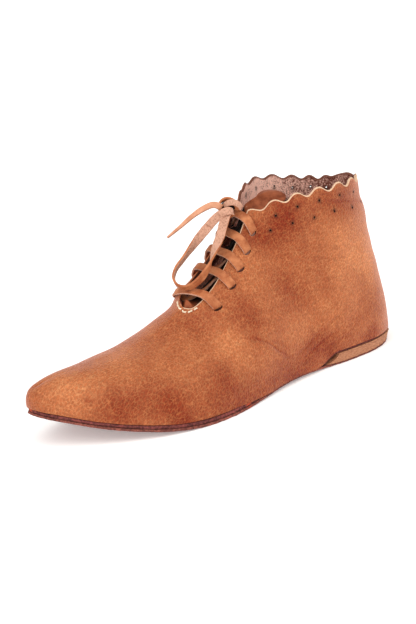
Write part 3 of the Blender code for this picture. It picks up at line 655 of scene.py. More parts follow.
def waxed_grain_leather():
    """Vegetable-tanned cowhide, waxed: red-brown to tan in soft clouds, with a fine net of pale veins round pebbles."""
    material, tree, shader, where = finish_named("waxed grain leather", {
        "IOR": 1.48, "Specular IOR Level": 0.14, "Coat Weight": 0.06, "Coat Roughness": 0.35, "Coat IOR": 1.4,
        "Sheen Weight": 0.8, "Sheen Roughness": 0.32, "Sheen Tint": linear("#FFC9BE")})
    clouds = add(tree, "TexNoise", {"Vector": where, "Scale": per_mm(26.0), "Detail": 2.0, "Roughness": 0.5})
    mottle = add(tree, "TexNoise", {"Vector": where, "Scale": per_mm(4.0), "Detail": 3.0, "Roughness": 0.6})
    tone = add(tree, "Attribute", out="Fac", attribute_name="tone")
    shade = add(tree, "MapRange", {"Value": clouds, "From Min": 0.35, "From Max": 0.65, "To Min": 0.32, "To Max": 0.6})
    toned = add(tree, "Math", {0: shade, 1: tone}, operation="ADD", use_clamp=True)
    hide = tones(tree, toned, "#7E250A", "#D07E4C")
    # The pebbles are really about half a millimetre; they and their veins are drawn coarser so that they show
    warp = add(tree, "TexNoise", {"Vector": where, "Scale": per_mm(3.5), "Detail": 2.0}, out="Color")
    bent = add(tree, "VectorMath", {0: warp, 1: (2.2 * MM,) * 3, 2: where}, operation="MULTIPLY_ADD")
    drawn_out = add(tree, "Mapping", {"Vector": bent, "Rotation": (0.0, np.radians(45.0), 0.0),
                                      "Scale": (2.2, 1.0, 1.0)}, vector_type="TEXTURE")
    pebbles = add(tree, "TexVoronoi", {"Vector": drawn_out, "Scale": per_mm(1.5)}, feature="DISTANCE_TO_EDGE")
    veins = add(tree, "MapRange", {"Value": pebbles, "From Max": 0.15, "To Min": 1.0, "To Max": 0.0})
    strong = add(tree, "MapRange", {"Value": mottle, "From Min": 0.36, "From Max": 0.66,
                                    "To Min": 0.22, "To Max": 0.66})
    drawn = add(tree, "Math", {0: veins, 1: strong}, operation="MULTIPLY")
    veined = tones(tree, drawn, hide, tones(tree, toned, "#B46838", "#F2B07A"))
    speckle = add(tree, "TexNoise", {"Vector": where, "Scale": per_mm(1.4), "Detail": 3.0, "Roughness": 0.65})
    grain = add(tree, "MapRange", {"Value": speckle, "From Min": 0.3, "From Max": 0.7, "To Min": 0.65, "To Max": 1.14})
    speckled = add(tree, "VectorMath", {0: veined, "Scale": grain}, operation="SCALE")
    gloss = add(tree, "MapRange", {"Value": mottle, "From Min": 0.35, "From Max": 0.65, "To Min": 0.44, "To Max": 0.6})
    tree.links.new(gloss, shader.inputs["Roughness"])
    relief = add(tree, "Math", {0: veins, 1: -0.5, 2: speckle}, operation="MULTIPLY_ADD")
    surface(tree, shader, with_painted_shade(tree, speckled), relief, 0.6, 0.4)
    return material


def flesh_side(name, pale, dark):
    """The hide's inner side: a dry, matted nap of pinkish brown with dark flecks."""
    material, tree, shader, where = finish_named(name, {"Roughness": 0.9, "IOR": 1.4})
    # The flecks are drawn about twice as coarse as they are, so that the render shows them
    nap = add(tree, "TexNoise", {"Vector": where, "Scale": per_mm(1.2), "Detail": 4.0, "Roughness": 0.7})
    clouds = add(tree, "TexNoise", {"Vector": where, "Scale": per_mm(11.0), "Detail": 2.0})
    inside_shade = add(tree, "Attribute", out="Fac", attribute_name="inside_shade")
    mixed = add(tree, "Math", {0: clouds, 1: 0.3, 2: nap}, operation="MULTIPLY_ADD")
    # The nap is painted darker where the piece is marked, as shade towards the heel and inside the throat
    worn = add(tree, "Math", {0: mixed, 1: inside_shade}, operation="SUBTRACT")
    colour = tones(tree, worn, dark, pale, 0.46, 0.69)
    surface(tree, shader, with_painted_shade(tree, colour), nap, 0.6, 0.5)
    return material


def cut_edge(name, pale, dark):
    """The knife-cut edge of the hide: dry fibres, pale where it is raw and nearly black where it is soiled or where it
    stands as painted shade in the slits and holes.
    """
    material, tree, shader, where = finish_named(name, {"Roughness": 0.85, "IOR": 1.4})
    fibre = add(tree, "TexNoise", {"Vector": where, "Scale": per_mm(1.2), "Detail": 3.0})
    surface(tree, shader, tones(tree, fibre, dark, pale))
    return material


def smooth_leather(name, pale, dark):
    """Thin dressed hide with a close, smooth grain: soft streaks, a low waxed gloss, and painted shade where the piece
    is marked with it.
    """
    material, tree, shader, where = finish_named(name, {"Roughness": 0.5, "IOR": 1.48, "Specular IOR Level": 0.14})
    streaks = add(tree, "TexNoise", {"Vector": where, "Scale": per_mm(6.0), "Detail": 4.0, "Roughness": 0.6})
    grain = add(tree, "TexNoise", {"Vector": where, "Scale": per_mm(1.0), "Detail": 3.0})
    colour = tones(tree, streaks, dark, pale, 0.35, 0.65)
    surface(tree, shader, with_painted_shade(tree, colour), grain, 0.2, 0.2)
    return material


def worn_sole_leather(name, pale, dark):
    """Dark sole leather with a frayed edge: purple-brown, matt, with paler loose fibres and a few fresh red nicks."""
    material, tree, shader, where = finish_named(name, {"Roughness": 0.85, "IOR": 1.45})
    fray = add(tree, "TexNoise", {"Vector": where, "Scale": per_mm(1.6), "Detail": 5.0, "Roughness": 0.7})
    fuzz = add(tree, "Attribute", out="Fac", attribute_name="fuzz")
    loose = add(tree, "Math", {0: fray, 1: fuzz}, operation="ADD")
    colour = tones(tree, loose, dark, pale, 0.42, 0.72)
    nick = add(tree, "Attribute", out="Fac", attribute_name="nick")
    surface(tree, shader, tones(tree, nick, colour, "#D2542A"), fray, 0.8, 0.6)
    return material


def lift_leather():
    """Cut edge of thick natural sole leather: pale tan with fine flecks in level layers."""
    material, tree, shader, where = finish_named("natural sole leather", {"Roughness": 0.7, "IOR": 1.45})
    layered = add(tree, "VectorMath", {0: where, 1: (1.0, 1.0, 4.0)}, operation="MULTIPLY")
    flecks = add(tree, "TexNoise", {"Vector": layered, "Scale": per_mm(2.2), "Detail": 4.0, "Roughness": 0.65})
    colour = tones(tree, flecks, "#92593B", "#C08663", 0.35, 0.65)
    surface(tree, shader, colour, flecks, 0.3, 0.3)
    return material


def waxed_thread():
    """Waxed linen thread: cream, softly shining."""
    material, tree, shader, where = finish_named("waxed linen thread", {"Roughness": 0.55, "IOR": 1.5})
    twist = add(tree, "TexWave", {"Vector": where, "Scale": per_mm(1.0), "Distortion": 1.0}, out="Fac",
                bands_direction="DIAGONAL")
    surface(tree, shader, tones(tree, twist, "#D9C2A0", "#FBF1DC"))
    return material


def studio_paper():
    """Matt white paper on a light table: pale and even, with little shadow."""
    material, tree, shader, where = finish_named("white studio paper", {
        "Roughness": 0.9, "IOR": 1.4, "Emission Color": linear("#FFFFFF"), "Emission Strength": 0.25})
    tooth = add(tree, "TexNoise", {"Vector": where, "Scale": per_mm(4.0), "Detail": 2.0})
    surface(tree, shader, tones(tree, tooth, "#FBFBFB", "#FEFEFE"))
    return material


def put(name, data):
    """A new object in the scene."""
    item = bpy.data.objects.new(name, data)
    bpy.context.scene.collection.objects.link(item)
    return item


def mesh_piece(name, points, faces, materials, face_materials=None):
    """A smooth-shaded object from points in millimetres."""
    mesh = bpy.data.meshes.new(name)
    mesh.from_pydata(place(points).tolist(), [], faces)
    for material in materials:
        mesh.materials.append(material)
    if face_materials is not None:
        mesh.polygons.foreach_set("material_index", np.asarray(face_materials, np.int32))
    mesh.shade_smooth()
    return put(name, mesh)


def mark(item, name, values):
    """A number for each point of a piece, for its material to read."""
    item.data.attributes.new(name, "FLOAT", "POINT").data.foreach_set("value", np.asarray(values, np.float32))


def face_out(item):
    """Turns a closed piece's faces outward."""
    shape = bmesh.new()
    shape.from_mesh(item.data)
    bmesh.ops.recalc_face_normals(shape, faces=shape.faces)
    shape.to_mesh(item.data)
    shape.free()


def modify(item, kind, **settings):
    """Adds a modifier with its settings to a piece."""
    made = item.modifiers.new(kind, kind)
    for name, value in settings.items():
        setattr(made, name, value)


def add_wall(item, thick):
    """A wall inwards from a sheet; each face's material is followed by that of its inner side and of its rim."""
    modify(item, "SOLIDIFY", thickness=thick * MM, offset=-1.0, material_offset=1, material_offset_rim=2)


def apply_modifiers(item):
    view = bpy.context.evaluated_depsgraph_get()
    made = bpy.data.meshes.new_from_object(item.evaluated_get(view))
    item.modifiers.clear()
    item.data = made


def grid_faces(index, flip=False):
    """Faces between the neighbours in a grid of points' numbers."""
    corners = [index[:-1, :-1], index[:-1, 1:], index[1:, 1:], index[1:, :-1]]
    return np.stack(corners[::-1] if flip else corners, axis=-1).reshape(-1, 4).tolist()


def ring_faces(rings, around, start=0, closed_ends=True):
    """Faces of a tube of rings of points, with flat ends; its points are numbered from start."""
    index = start + np.arange(rings * around).reshape(rings, around)
    faces = grid_faces(np.column_stack([index, index[:, 0]]))
    if closed_ends:
        faces += [index[0, ::-1].tolist(), index[-1].tolist()]
    return faces


def upper_side(side, heights):
    """Grid of points on one side of the upper: a row for each height, a column for each rib."""
    vamp = np.linspace(0.0, top_length(VAMP_ROWS, side), VAMP_COLUMNS + 1)
    throat = np.linspace(0.0, top_length(THROAT_ROWS, side), THROAT_COLUMNS + 1)[1:]
    collar = np.linspace(0.0, top_length(COLLAR_ROWS, side), COLLAR_COLUMNS + 1)
    middle = np.full(RIB_SAMPLES, collar[-1] / 2)
    rib_length = distances(upper_surface(COLLAR_ROWS, side, middle, np.linspace(0.0, 1.0, RIB_SAMPLES)))[-1]
    cut = 1.0 - bite_depth(collar, side) / rib_length
    grid = []
    for height in heights:
        row = [upper_surface(VAMP_ROWS, side, vamp, np.full(len(vamp), height)),
               upper_surface(THROAT_ROWS, side, throat, np.full(len(throat), height)),
               upper_surface(COLLAR_ROWS, side, collar, height * cut)[1:]]
        grid.append(np.vstack(row))
    return np.array(grid)


def near_fold(points, line):
    """How far points are from a fold's line, and how strong the fold is there."""
    keys = distances(np.array(line))
    away = apart(points, spline(keys, line, np.linspace(0.0, keys[-1], FOLD_POINTS)))
    share = np.linspace(*FOLD_ENDS, FOLD_POINTS)[away.argmin(axis=1)]
    return away.min(axis=1), np.sin(np.pi * share) ** FOLD_END_POWER


def fold_depth(points):
    """How far the leather sinks at its folds, and how much darker it is in the narrow ones."""
    depth, tone = np.zeros(len(points)), np.zeros(len(points))
    for line, width, deep in FOLDS:
        away, strong = near_fold(points, line)
        sunk = strong * deep * np.exp(-(away / width) ** 2)
        depth += sunk
        # Narrow folds are painted darker: shade in their hollow, with some dirt
        if width < NARROW_FOLD:
            tone -= NARROW_DARK * sunk
    return depth, tone


def refine(item):
    """Splits the faces near narrow folds and punched holes, so that these can be drawn finely."""
    work = bmesh.new()
    work.from_mesh(item.data)
    middles = np.array([face.calc_center_median() for face in work.faces]) / MM + ORIGIN
    away = from_holes(middles)
    for line, width, _ in FOLDS:
        if width < NARROW_FOLD:
            away = np.minimum(away, near_fold(middles, line)[0])
    edges = {edge for face, far in zip(work.faces, away) if far < FINE_REACH for edge in face.edges}
    bmesh.ops.subdivide_edges(work, edges=list(edges), cuts=FINE_CUTS, use_grid_fill=True)
    bmesh.ops.triangulate(work, faces=[face for face in work.faces if len(face.verts) > 4])
    work.to_mesh(item.data)
    work.free()


def piece_points(item, what="co"):
    """Points of a piece in millimetres, or their normals."""
    values = np.zeros(len(item.data.vertices) * 3)
    item.data.vertices.foreach_get(what, values)
    values = values.reshape(-1, 3)
    return values / MM + ORIGIN if what == "co" else values


def soften(points, faces, weights):
    """Evens out points towards their neighbours, by weights from 0 to 1."""
    pairs = np.array(sorted({tuple(sorted(pair)) for face in faces for pair in zip(face, face[1:] + face[:1])}))
    both = np.vstack([pairs, pairs[:, ::-1]])
    count = np.bincount(both[:, 0], minlength=len(points))[:, None]
    for _ in range(SOFTEN_ROUNDS):
        total = np.column_stack([np.bincount(both[:, 0], points[both[:, 1], k], len(points)) for k in range(3)])
        points = points + weights[:, None] * SOFTEN_STEP * (total / count - points)
    return points


def punch(side):
    """Middle, normal and edge direction of each punched hole on one side of the collar."""
    bites = np.array(BITES[side])
    chance = np.random.default_rng(HOLE_SEED + side)
    for drop, shift in zip(HOLE_DROPS, HOLE_SHIFTS):
        for tab in (bites[:-1] + bites[1:]) / 2:
            along = tab + shift + chance.uniform(-HOLE_STRAY_ALONG, HOLE_STRAY_ALONG)
            down = drop + chance.uniform(-HOLE_STRAY_DOWN, HOLE_STRAY_DOWN)
            middle, normal, edge = below_edge(COLLAR_ROWS, side, along, down)
            # The awl went in slanting upwards
            yield middle, unit(normal - HOLE_SLANT * UP), edge


def from_holes(points):
    """How far points are from the nearest punched hole."""
    return apart(points, np.array([middle for side in SIDES for middle, _, _ in punch(side)])).min(axis=1)


def slit_frame(side, along, drop):
    """Point, normal and length direction of a slit, which is turned a little from the throat's edge."""
    point, normal, edge = below_edge(THROAT_ROWS, side, along, drop)
    away = unit(below_edge(THROAT_ROWS, side, along, drop + 1.0)[0] - point)
    return point, normal, np.cos(SLIT_TURN) * edge + np.sin(SLIT_TURN) * away


def make_cutters(finishes):
    """Slits and punched holes as prisms through the wall, in one cutter that leaves the last of the finishes, black
    painted shade, on their walls.
    """
    points, faces = [], []
    turns = np.arange(CUT_SIDES)[:, None] * 2 * np.pi / CUT_SIDES
    for side in SIDES:
        prisms = [(hole, HOLE_ACROSS / 2, HOLE_ACROSS / 2) for hole in punch(side)]
        length = top_length(THROAT_ROWS, side)
        prisms += [(slit_frame(side, share * length, SLIT_INSET + SLIT_OUT), SLIT_LENGTH / 2, SLIT_ACROSS / 2)
                   for share in SLIT_SHARES[side]]
        for (centre, normal, edge), long, wide in prisms:
            ring = centre + long * np.cos(turns) * edge + wide * np.sin(turns) * np.cross(normal, edge)
            faces += ring_faces(2, CUT_SIDES, len(points))
            points += [*(ring - CUT_DEPTH / 2 * normal), *(ring + CUT_DEPTH / 2 * normal)]
    cutter = mesh_piece("cutter", points, faces, finishes, np.full(len(faces), len(finishes) - 1))
    face_out(cutter)
    return cutter


def make_upper(grain, flesh, raw, soiled, black):
    """The upper. The lateral side's edges are raw, the medial side's are soiled, and the slits' and holes' walls are
    painted black as their shade.
    """
    share = np.linspace(0.0, 1.0, UPPER_ROWS)
    heights = share + ROWS_CROWDED * (0.5 - 0.5 * np.cos(np.pi * share) - share)
    sides = [upper_side(side, heights) for side in SIDES]
    rows, columns = sides[0].shape[:2]
    index = np.arange(2 * rows * columns).reshape(2, rows, columns)
    index[1, :, [0, -1]] = index[0, :, [0, -1]]
    index[1, -1, :VAMP_COLUMNS + 1] = index[0, -1, :VAMP_COLUMNS + 1]
    used, inverse = np.unique(index, return_inverse=True)
    index = inverse.reshape(index.shape)
    points = np.vstack([side.reshape(-1, 3) for side in sides])[used]
    faces = grid_faces(index[0]) + grid_faces(index[1], flip=True)
    # The ribs that start the throat and the collar are evened out, and the cut edges stay
    column = np.arange(columns)
    weight = np.max([np.exp(-((column - rib) / reach) ** 2) for rib, reach in SOFT_RIBS], axis=0)
    fade = smooth_step((1.0 - heights) / SOFT_BELOW_TOP) * smooth_step(heights / SOFT_ABOVE_FOOT)
    weights, height_of = np.zeros((2, len(points)))
    for side in index:
        weights[side] = fade[:, None] * weight
        height_of[side] = heights[:, None]
    points = soften(points, faces, weights)
    # At the waist the leather hangs over the turn sole
    x = points[:, 0]
    waist = smooth_step((x - WAIST_BACK_X) / WAIST_BACK_EASE) * smooth_step((WAIST_FRONT_X - x) / WAIST_FRONT_EASE)
    waist *= 1.0 - smooth_step(height_of / WAIST_HEIGHT)
    points[:, 2] -= WAIST_DROP * waist
    points[:, 1] += WAIST_OUT * waist * np.sign(points[:, 1])
    # Three groups, each of outer side, inner side and rim, and the cuts, painted black as their shade
    finishes = [grain, flesh, raw, flesh, raw, grain, flesh, soiled, black]
    raw_group, soiled_group = 2, 5
    groups = np.zeros((2, rows - 1, columns - 1), int)
    groups[:, -1, VAMP_COLUMNS:] = soiled_group
    groups[0, -1, VAMP_COLUMNS:-RAW_STOPS] = raw_group
    upper = mesh_piece("upper_leather", points, faces, finishes, groups.ravel())
    refine(upper)
    points, normals = piece_points(upper), piece_points(upper, "normal")
    sink, creased = fold_depth(points)
    sink += ripples(points, SWELLS)
    # The knife's cut slopes in from the grain side
    sink[np.unique(index[:, -1, VAMP_COLUMNS + 2:])] += KNIFE_SLOPE
    upper.data.vertices.foreach_set("co", place(points - normals * sink[:, None]).ravel())
    # The tone is partly the hide's own, partly painted light: painted shade low on the sides and in the narrow folds,
    # painted highlight on the toe's top and at the heel
    mark(upper, "tone", spots(points, TONE_AND_PAINTED_LIGHT) + creased)
    # The punched holes are painted dark in and round them, as their shade
    mark(upper, "painted_shade", painted_hole_shade(points))
    throat = top_length(THROAT_ROWS, MEDIAL)
    throat_shade = [(*below_edge(THROAT_ROWS, MEDIAL, part * throat, THROAT_SHADE_DROP)[0], THROAT_SHADE_SIZE, THROAT_SHADE)
              for part in THROAT_SHADE_SHARES]
    # The flesh side is painted darker towards the heel and inside the throat's medial side, as shade
    worn = np.clip(HEEL_SHADE_PER_MM * (HEEL_SHADE_FROM_X - points[:, 0]), *HEEL_SHADE_RANGE)
    mark(upper, "inside_shade", worn + np.minimum(spots(points, throat_shade), THROAT_SHADE))
    add_wall(upper, UPPER_WALL)
    cutter = make_cutters(finishes)
    modify(upper, "BOOLEAN", operation="DIFFERENCE", solver="EXACT", object=cutter)
    apply_modifiers(upper)
    bpy.data.objects.remove(cutter, do_unlink=True)
    upper.data.shade_smooth()
    upper.data.set_sharp_from_angle(angle=UPPER_SHARP_ANGLE)
    return dress(upper, "upper_leather", "upper")


def spots(points, rows):
    """How strong the soft round spots of rows are at points."""
    strength = np.zeros(len(points))
    for *middle, size, value in rows:
        strength += value * np.exp(-((points - middle) ** 2).sum(axis=1) / size**2)
    return strength


def painted_hole_shade(points):
    """How dark the painted shade in and round the punched holes is."""
    return HOLE_SHADE * np.exp(-(from_holes(points) / HOLE_SPOT) ** 2)


def dress(item, slot, *nodes):
    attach(item, "root")
    if nodes:
        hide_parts(*nodes)
    return item


def sole_layer(name, levels, material):
    """Closed slab lofted through outlines: each level gives its stations, inset column, extra inset and height."""
    count = len(levels[0][0])
    rings = []
    for stations, column, extra, height in levels:
        edges = []
        for side in SIDES:
            edge, outward = sole_edge(stations, side, column)
            spot = np.column_stack([edge, height(edge[:, 0])])
            spot[:, :2] -= outward * (extra + ripples(spot, FRAYS))[:, None]
            edges.append(spot)
        lateral, medial = edges
        rings.append(np.vstack([lateral, medial[::-1]]))
    around = 2 * count
    points = np.vstack(rings)
    faces = ring_faces(len(rings), around, closed_ends=False)
    for base, flip in ((0, True), (len(points) - around, False)):
        ring = base + np.arange(around)
        faces += grid_faces(np.array([ring[:count], ring[:count - 1:-1]]), flip)
    layer = mesh_piece(name, points, faces, [material])
    for marks, rows in (("nick", NICKS), ("fuzz", FUZZ)):
        strength = spots(points, rows)
        # The flat faces above and below stay free of them
        strength[:around] = strength[-around:] = 0.0
        mark(layer, marks, strength)
    face_out(layer)
    return layer


def layer_levels(rows, column, low, high):
    """Levels of a layer over the whole sole, between its heights low and high."""
    stations = np.linspace(0.0, HEEL_BACK, SOLE_STATIONS)
    return [(stations, column, inset, lambda x, share=share, up=up: low(x) + share * (high(x) - low(x)) + up)
            for inset, share, up in rows]


def row_at_x(x):
    xs = np.array([row[0] for row in SOLE_ROWS])
    return np.interp(-x, -xs, np.arange(len(xs)))


def make_sole(dark, worn, natural):
    outsole = sole_layer("worn_outsole", layer_levels(OUTSOLE_LEVELS, None, floor_line, outsole_top), worn)
    dress(outsole, "sole_leather", "outsole")
    turned = sole_layer("turned_sole", layer_levels(TURN_SOLE_LEVELS, "turn", turn_sole_low, turn_sole_high), dark)
    dress(turned, "sole_leather", "turn_sole")
    leans = np.array(SOLE_ROWS)[:, [SOLE_COLUMNS.index("lift")]]
    levels = []
    for inset, share in LIFT_LEVELS:
        curved = share + LIFT_FRONT_CURVE * np.sin(np.pi * share)
        front = LIFT_FRONT_LOW_X + (LIFT_FRONT_HIGH_X - LIFT_FRONT_LOW_X) * curved
        rows = np.linspace(row_at_x(front), HEEL_BACK, LIFT_STATIONS)
        lean = spline(np.arange(len(SOLE_ROWS)), leans, rows)[:, 0]
        levels.append((rows, None, inset + share * lean, lambda x, share=share: lift_low(x) + share * LIFT_THICK))
    lift = sole_layer("stacked_lift", levels, natural)
    lift.data.set_sharp_from_angle(angle=LIFT_SHARP_ANGLE)
    dress(lift, "lift_leather", "heel_lift")


def tongue_row(section, along, clearance, width=1.0):
    """One row across the tongue, under the upper's inside, from the lateral to the medial side."""
    depth = UPPER_WALL + clearance
    share = along / top_length(section, LATERAL)
    places = {side: share * top_length(section, side) for side in SIDES}
    tops = [below_edge(section, side, places[side], 0.0)[0] for side in places]
    reach = width * TONGUE_HALF_WIDTH - np.linalg.norm(tops[0] - tops[1]) / 2
    halves = []
    for side in places:
        frames = [below_edge(section, side, places[side], part * reach) for part in TONGUE_SHARES]
        halves.append([point - depth * normal for point, normal, _ in frames])
    lateral, medial = halves
    between = [lateral[-1] + part * (medial[-1] - lateral[-1]) for part in TONGUE_BETWEEN]
    return np.array(lateral + between + medial[::-1])


def make_tongue(leather, flesh, edge):
    """The tongue: its root under the vamp, its run under the throat, and its round top that leans back."""
    vamp = top_length(VAMP_ROWS, LATERAL)
    throat = top_length(THROAT_ROWS, LATERAL)
    grid = [tongue_row(VAMP_ROWS, vamp - ahead, TONGUE_ROOT_CLEARANCE, width) for ahead, width in TONGUE_ROOT_ROWS]
    painted_shade = [0.0] * len(grid)
    raised = len(TONGUE_BULGE_SHARES) // 2
    for along in np.linspace(TONGUE_THROAT_START, 1.0, TONGUE_THROAT_ROWS) * throat:
        eased = smooth_step(along / TONGUE_ROOT_LENGTH)
        clearance = TONGUE_ROOT_CLEARANCE + (TONGUE_CLEARANCE - TONGUE_ROOT_CLEARANCE) * eased
        sag = TONGUE_SAG * np.sin(np.pi * along / throat) ** 2
        row = tongue_row(THROAT_ROWS, along, clearance + sag)
        # Below the first slit it bulges up between the throat's edges
        bulge = TONGUE_BULGE * np.exp(-((along - TONGUE_BULGE_AT) / TONGUE_BULGE_LENGTH) ** 2)
        row[TONGUE_MIDDLE - raised:TONGUE_MIDDLE + raised + 1] += bulge * np.outer(TONGUE_BULGE_SHARES, UP)
        grid.append(row)
        # Deep under the throat the tongue is painted dark, as its shade
        painted_shade.append(smooth_step((along - TONGUE_SHADE_FROM) / TONGUE_SHADE_EASE)
                    * smooth_step((throat + TONGUE_SHADE_PAST - along) / TONGUE_SHADE_FADE_EASE))
    head = grid[-1][TONGUE_MIDDLE]
    bent = grid[-1] - head
    reach = distances(bent)
    level = np.zeros_like(bent)
    level[:, 1] = reach[TONGUE_MIDDLE] - reach
    table = np.array(TONGUE_TOP_ROWS)
    keys = distances(table[:, :2])
    for back, rise, width, flat in spline(keys, table, np.linspace(0.0, keys[-1], TONGUE_TOP_STEPS + 1)[1:]):
        row = head + width * (bent + flat * (level - bent)) + np.array([-back, 0.0, rise])
        row[:, 2] -= TONGUE_DROOP * flat * smooth_step((row[:, 1] - head[1]) / TONGUE_HALF_WIDTH)
        grid.append(row)
        painted_shade.append(0.0)
    rows, columns = len(grid), len(grid[0])
    points = np.vstack(grid)
    points = points + ripples(points, TONGUE_SWELLS)[:, None] * UP
    faces = grid_faces(np.arange(rows * columns).reshape(rows, columns), flip=True)
    tongue = mesh_piece("tongue_leather", points, faces, [leather, flesh, edge])
    mark(tongue, "painted_shade", np.repeat(painted_shade, columns))
    add_wall(tongue, TONGUE_THICK)
    modify(tongue, "SUBSURF", levels=TONGUE_SMOOTHING, render_levels=TONGUE_SMOOTHING)
    apply_modifiers(tongue)
    return dress(tongue, "tongue_leather", "tongue")


def strip(name, centres, across, widths, materials, seed, thick=LACE_THICK, painted_shade=None):
    """Flat thong along a line of points; across is its width's direction. Materials: outer face, inner face, edges."""
    along = unit(np.gradient(centres, axis=0))
    across = unit(across - (across * along).sum(axis=1, keepdims=True) * along)
    face = np.cross(across, along)
    turn = np.linspace(0.0, 2 * np.pi, LACE_SIDES, endpoint=False) + np.pi / LACE_SIDES
    wide, deep = [np.sign(part) * np.abs(part) ** power
                  for part, power in zip((np.cos(turn), np.sin(turn)), LACE_FLATNESS)]
    widths = np.asarray(widths) * (1.0 + LACE_UNEVEN * ripple(centres, LACE_UNEVEN_SIZE, seed))
    rings = (centres[:, None] + 0.5 * widths[:, None, None] * wide[None, :, None] * across[:, None]
             + 0.5 * thick * deep[None, :, None] * face[:, None])
    level = 0.5 * (deep + np.roll(deep, -1))
    kinds = np.where(level > LACE_FACE_LEVEL, 0, np.where(level < -LACE_FACE_LEVEL, 1, 2))
    kinds = np.concatenate([np.tile(kinds, len(centres) - 1), [2, 2]])
    made = mesh_piece(name, rings.reshape(-1, 3), ring_faces(len(centres), LACE_SIDES), materials, kinds)
    face_out(made)
    if painted_shade is not None:
        mark(made, "painted_shade", np.repeat(painted_shade, LACE_SIDES))
    return made


def even_route(points, step=LACE_STEP):
    """Keys of a route's points, and even distances along it."""
    keys = distances(np.asarray(points, float))
    return keys, np.linspace(0.0, keys[-1], max(LACE_FEWEST, int(keys[-1] / step)))


def slit_pass(number, side):
    """Points and width directions of the thong from under the wall, up through a slit and over to the throat's edge."""
    along = SLIT_SHARES[side][number] * top_length(THROAT_ROWS, side)
    points, ways = [], []
    for drop, out in SLIT_ROUTE:
        over = 1.0 - drop / SLIT_INSET if out > 0.0 else 0.0
        point, normal, way = slit_frame(side, along - side * BAR_SLANT * over, drop)
        points.append(point + out * normal)
        ways.append(way)
    return points, ways


def make_bars(materials):
    """The thong from its first slit up: over the throat, down, and back under it to the next slit."""
    last = len(BAR_SHADE) - 1
    for number, (middle_shade, far_shade, under_shade) in enumerate(BAR_SHADE):
        up, up_ways = slit_pass(number, LATERAL)
        down, down_ways = slit_pass(number, MEDIAL)
        facing = unit(np.cross(up_ways[-1], down[-1] - up[-1]))
        crown = (up[-1] + down[-1]) / 2 + BAR_CROWN * facing
        if number == last:
            reach = np.linalg.norm(KNOT_RADII * facing)
            crown = KNOT_CENTRE - (reach + KNOT_SEAT + LACE_THICK / 2) * facing
        points = up[1:] + [crown] + down[:0:-1]
        ways = up_ways[1:] + [up_ways[-1] + down_ways[-1]] + down_ways[:0:-1]
        # Painted shade: the loop's shadow on the bar's middle and far end, and the shade under the throat on the way
        # back
        painted_shade = [0.0] * len(up[1:]) + [middle_shade] + [far_shade] * len(down[1:])
        widths = [1.0] * len(painted_shade)
        points.append(down[0])
        ways.append(down_ways[0])
        if number < last:
            onward, onward_ways = slit_pass(number + 1, LATERAL)
            points += [(down[0] + onward[0]) / 2 - BAR_DIP * facing, onward[0], onward[1]]
            ways += [down_ways[0] + onward_ways[0], onward_ways[0], onward_ways[1]]
        hidden = len(points) - len(painted_shade)
        painted_shade += [under_shade] * hidden
        widths += [BAR_NARROWED] * hidden
        keys, at = even_route(points, BAR_STEP)
        bar = strip(f"thong_run_{number + 1}", spline(keys, points, at), spline(keys, ways, at),
                    LACE_WIDTH * np.interp(at, keys, widths), materials, BAR_SEED + number,
                    painted_shade=np.interp(at, keys, painted_shade))
        dress(bar, "thong_leather", f"lace_bar_{number + 1}")


def knot_strip(name, rows, materials, seed):
    """A band of the knot through the rows of its table."""
    rows = np.array(rows)
    points = KNOT_CENTRE + rows[:, :3] @ VIEW_AXES
    keys, at = even_route(points, KNOT_STEP)
    band = spline(keys, np.column_stack([points, rows[:, 3:6] @ VIEW_AXES, rows[:, 6]]), at)
    return strip(name, band[:, :3], band[:, 3:6], band[:, 6], materials, seed, KNOT_THICK)


def knot_heart(material):
    """The tightened middle of the knot, mostly hidden by its bands, and painted near-black all over as the shade inside
    the knot.
    """
    ball = bmesh.new()
    bmesh.ops.create_uvsphere(ball, u_segments=HEART_SEGMENTS, v_segments=HEART_RINGS, radius=1.0)
    points = KNOT_CENTRE + (HEART_MIDDLE + HEART_RADII * np.array([vert.co for vert in ball.verts])) @ VIEW_AXES
    faces = [tuple(vert.index for vert in face.verts) for face in ball.faces]
    ball.free()
    heart = mesh_piece("heart", points, faces, [material])
    # Painted shade: the whole heart is marked dark
    mark(heart, "painted_shade", np.ones(len(points)))
    return heart


def join(name, items):
    """Several pieces as one."""
    bpy.ops.object.select_all(action="DESELECT")
    for item in items:
        item.select_set(True)
    bpy.context.view_layer.objects.active = items[0]
    bpy.ops.object.join()
    items[0].name = name
    return items[0]


def make_knot(turned, grain):
    pieces = [knot_strip("band", KNOT_BAND, turned, BAND_SEED), knot_strip("fold", KNOT_FOLD, turned, FOLD_SEED),
              knot_strip("arch", KNOT_ARCH, [grain] * 3, ARCH_SEED), knot_heart(grain)]
    return dress(join("thong_knot", pieces), "thong_leather", "lace_knot")


def loop_width(at, length):
    eased = smooth_step(np.minimum(at, length - at) / THONG_ROOT_LENGTH)
    return THONG_ROOT_WIDTH + (LACE_WIDTH - THONG_ROOT_WIDTH) * eased


def end_width(at, length):
    root = smooth_step(at / THONG_ROOT_LENGTH)
    tip = np.clip((at / length - TAPER_FROM) / (1.0 - TAPER_FROM), 0.0, 1.0)
    return THONG_ROOT_WIDTH + (END_WIDTH - THONG_ROOT_WIDTH) * root + (END_TIP_WIDTH - END_WIDTH) * tip


def lace_line(points):
    """Even points along a route from the knot, their distances along it and their directions."""
    route = KNOT_CENTRE + np.array(points) @ VIEW_AXES
    keys, at = even_route(route)
    line = spline(keys, route, at)
    return line, at, unit(np.gradient(line, axis=0))


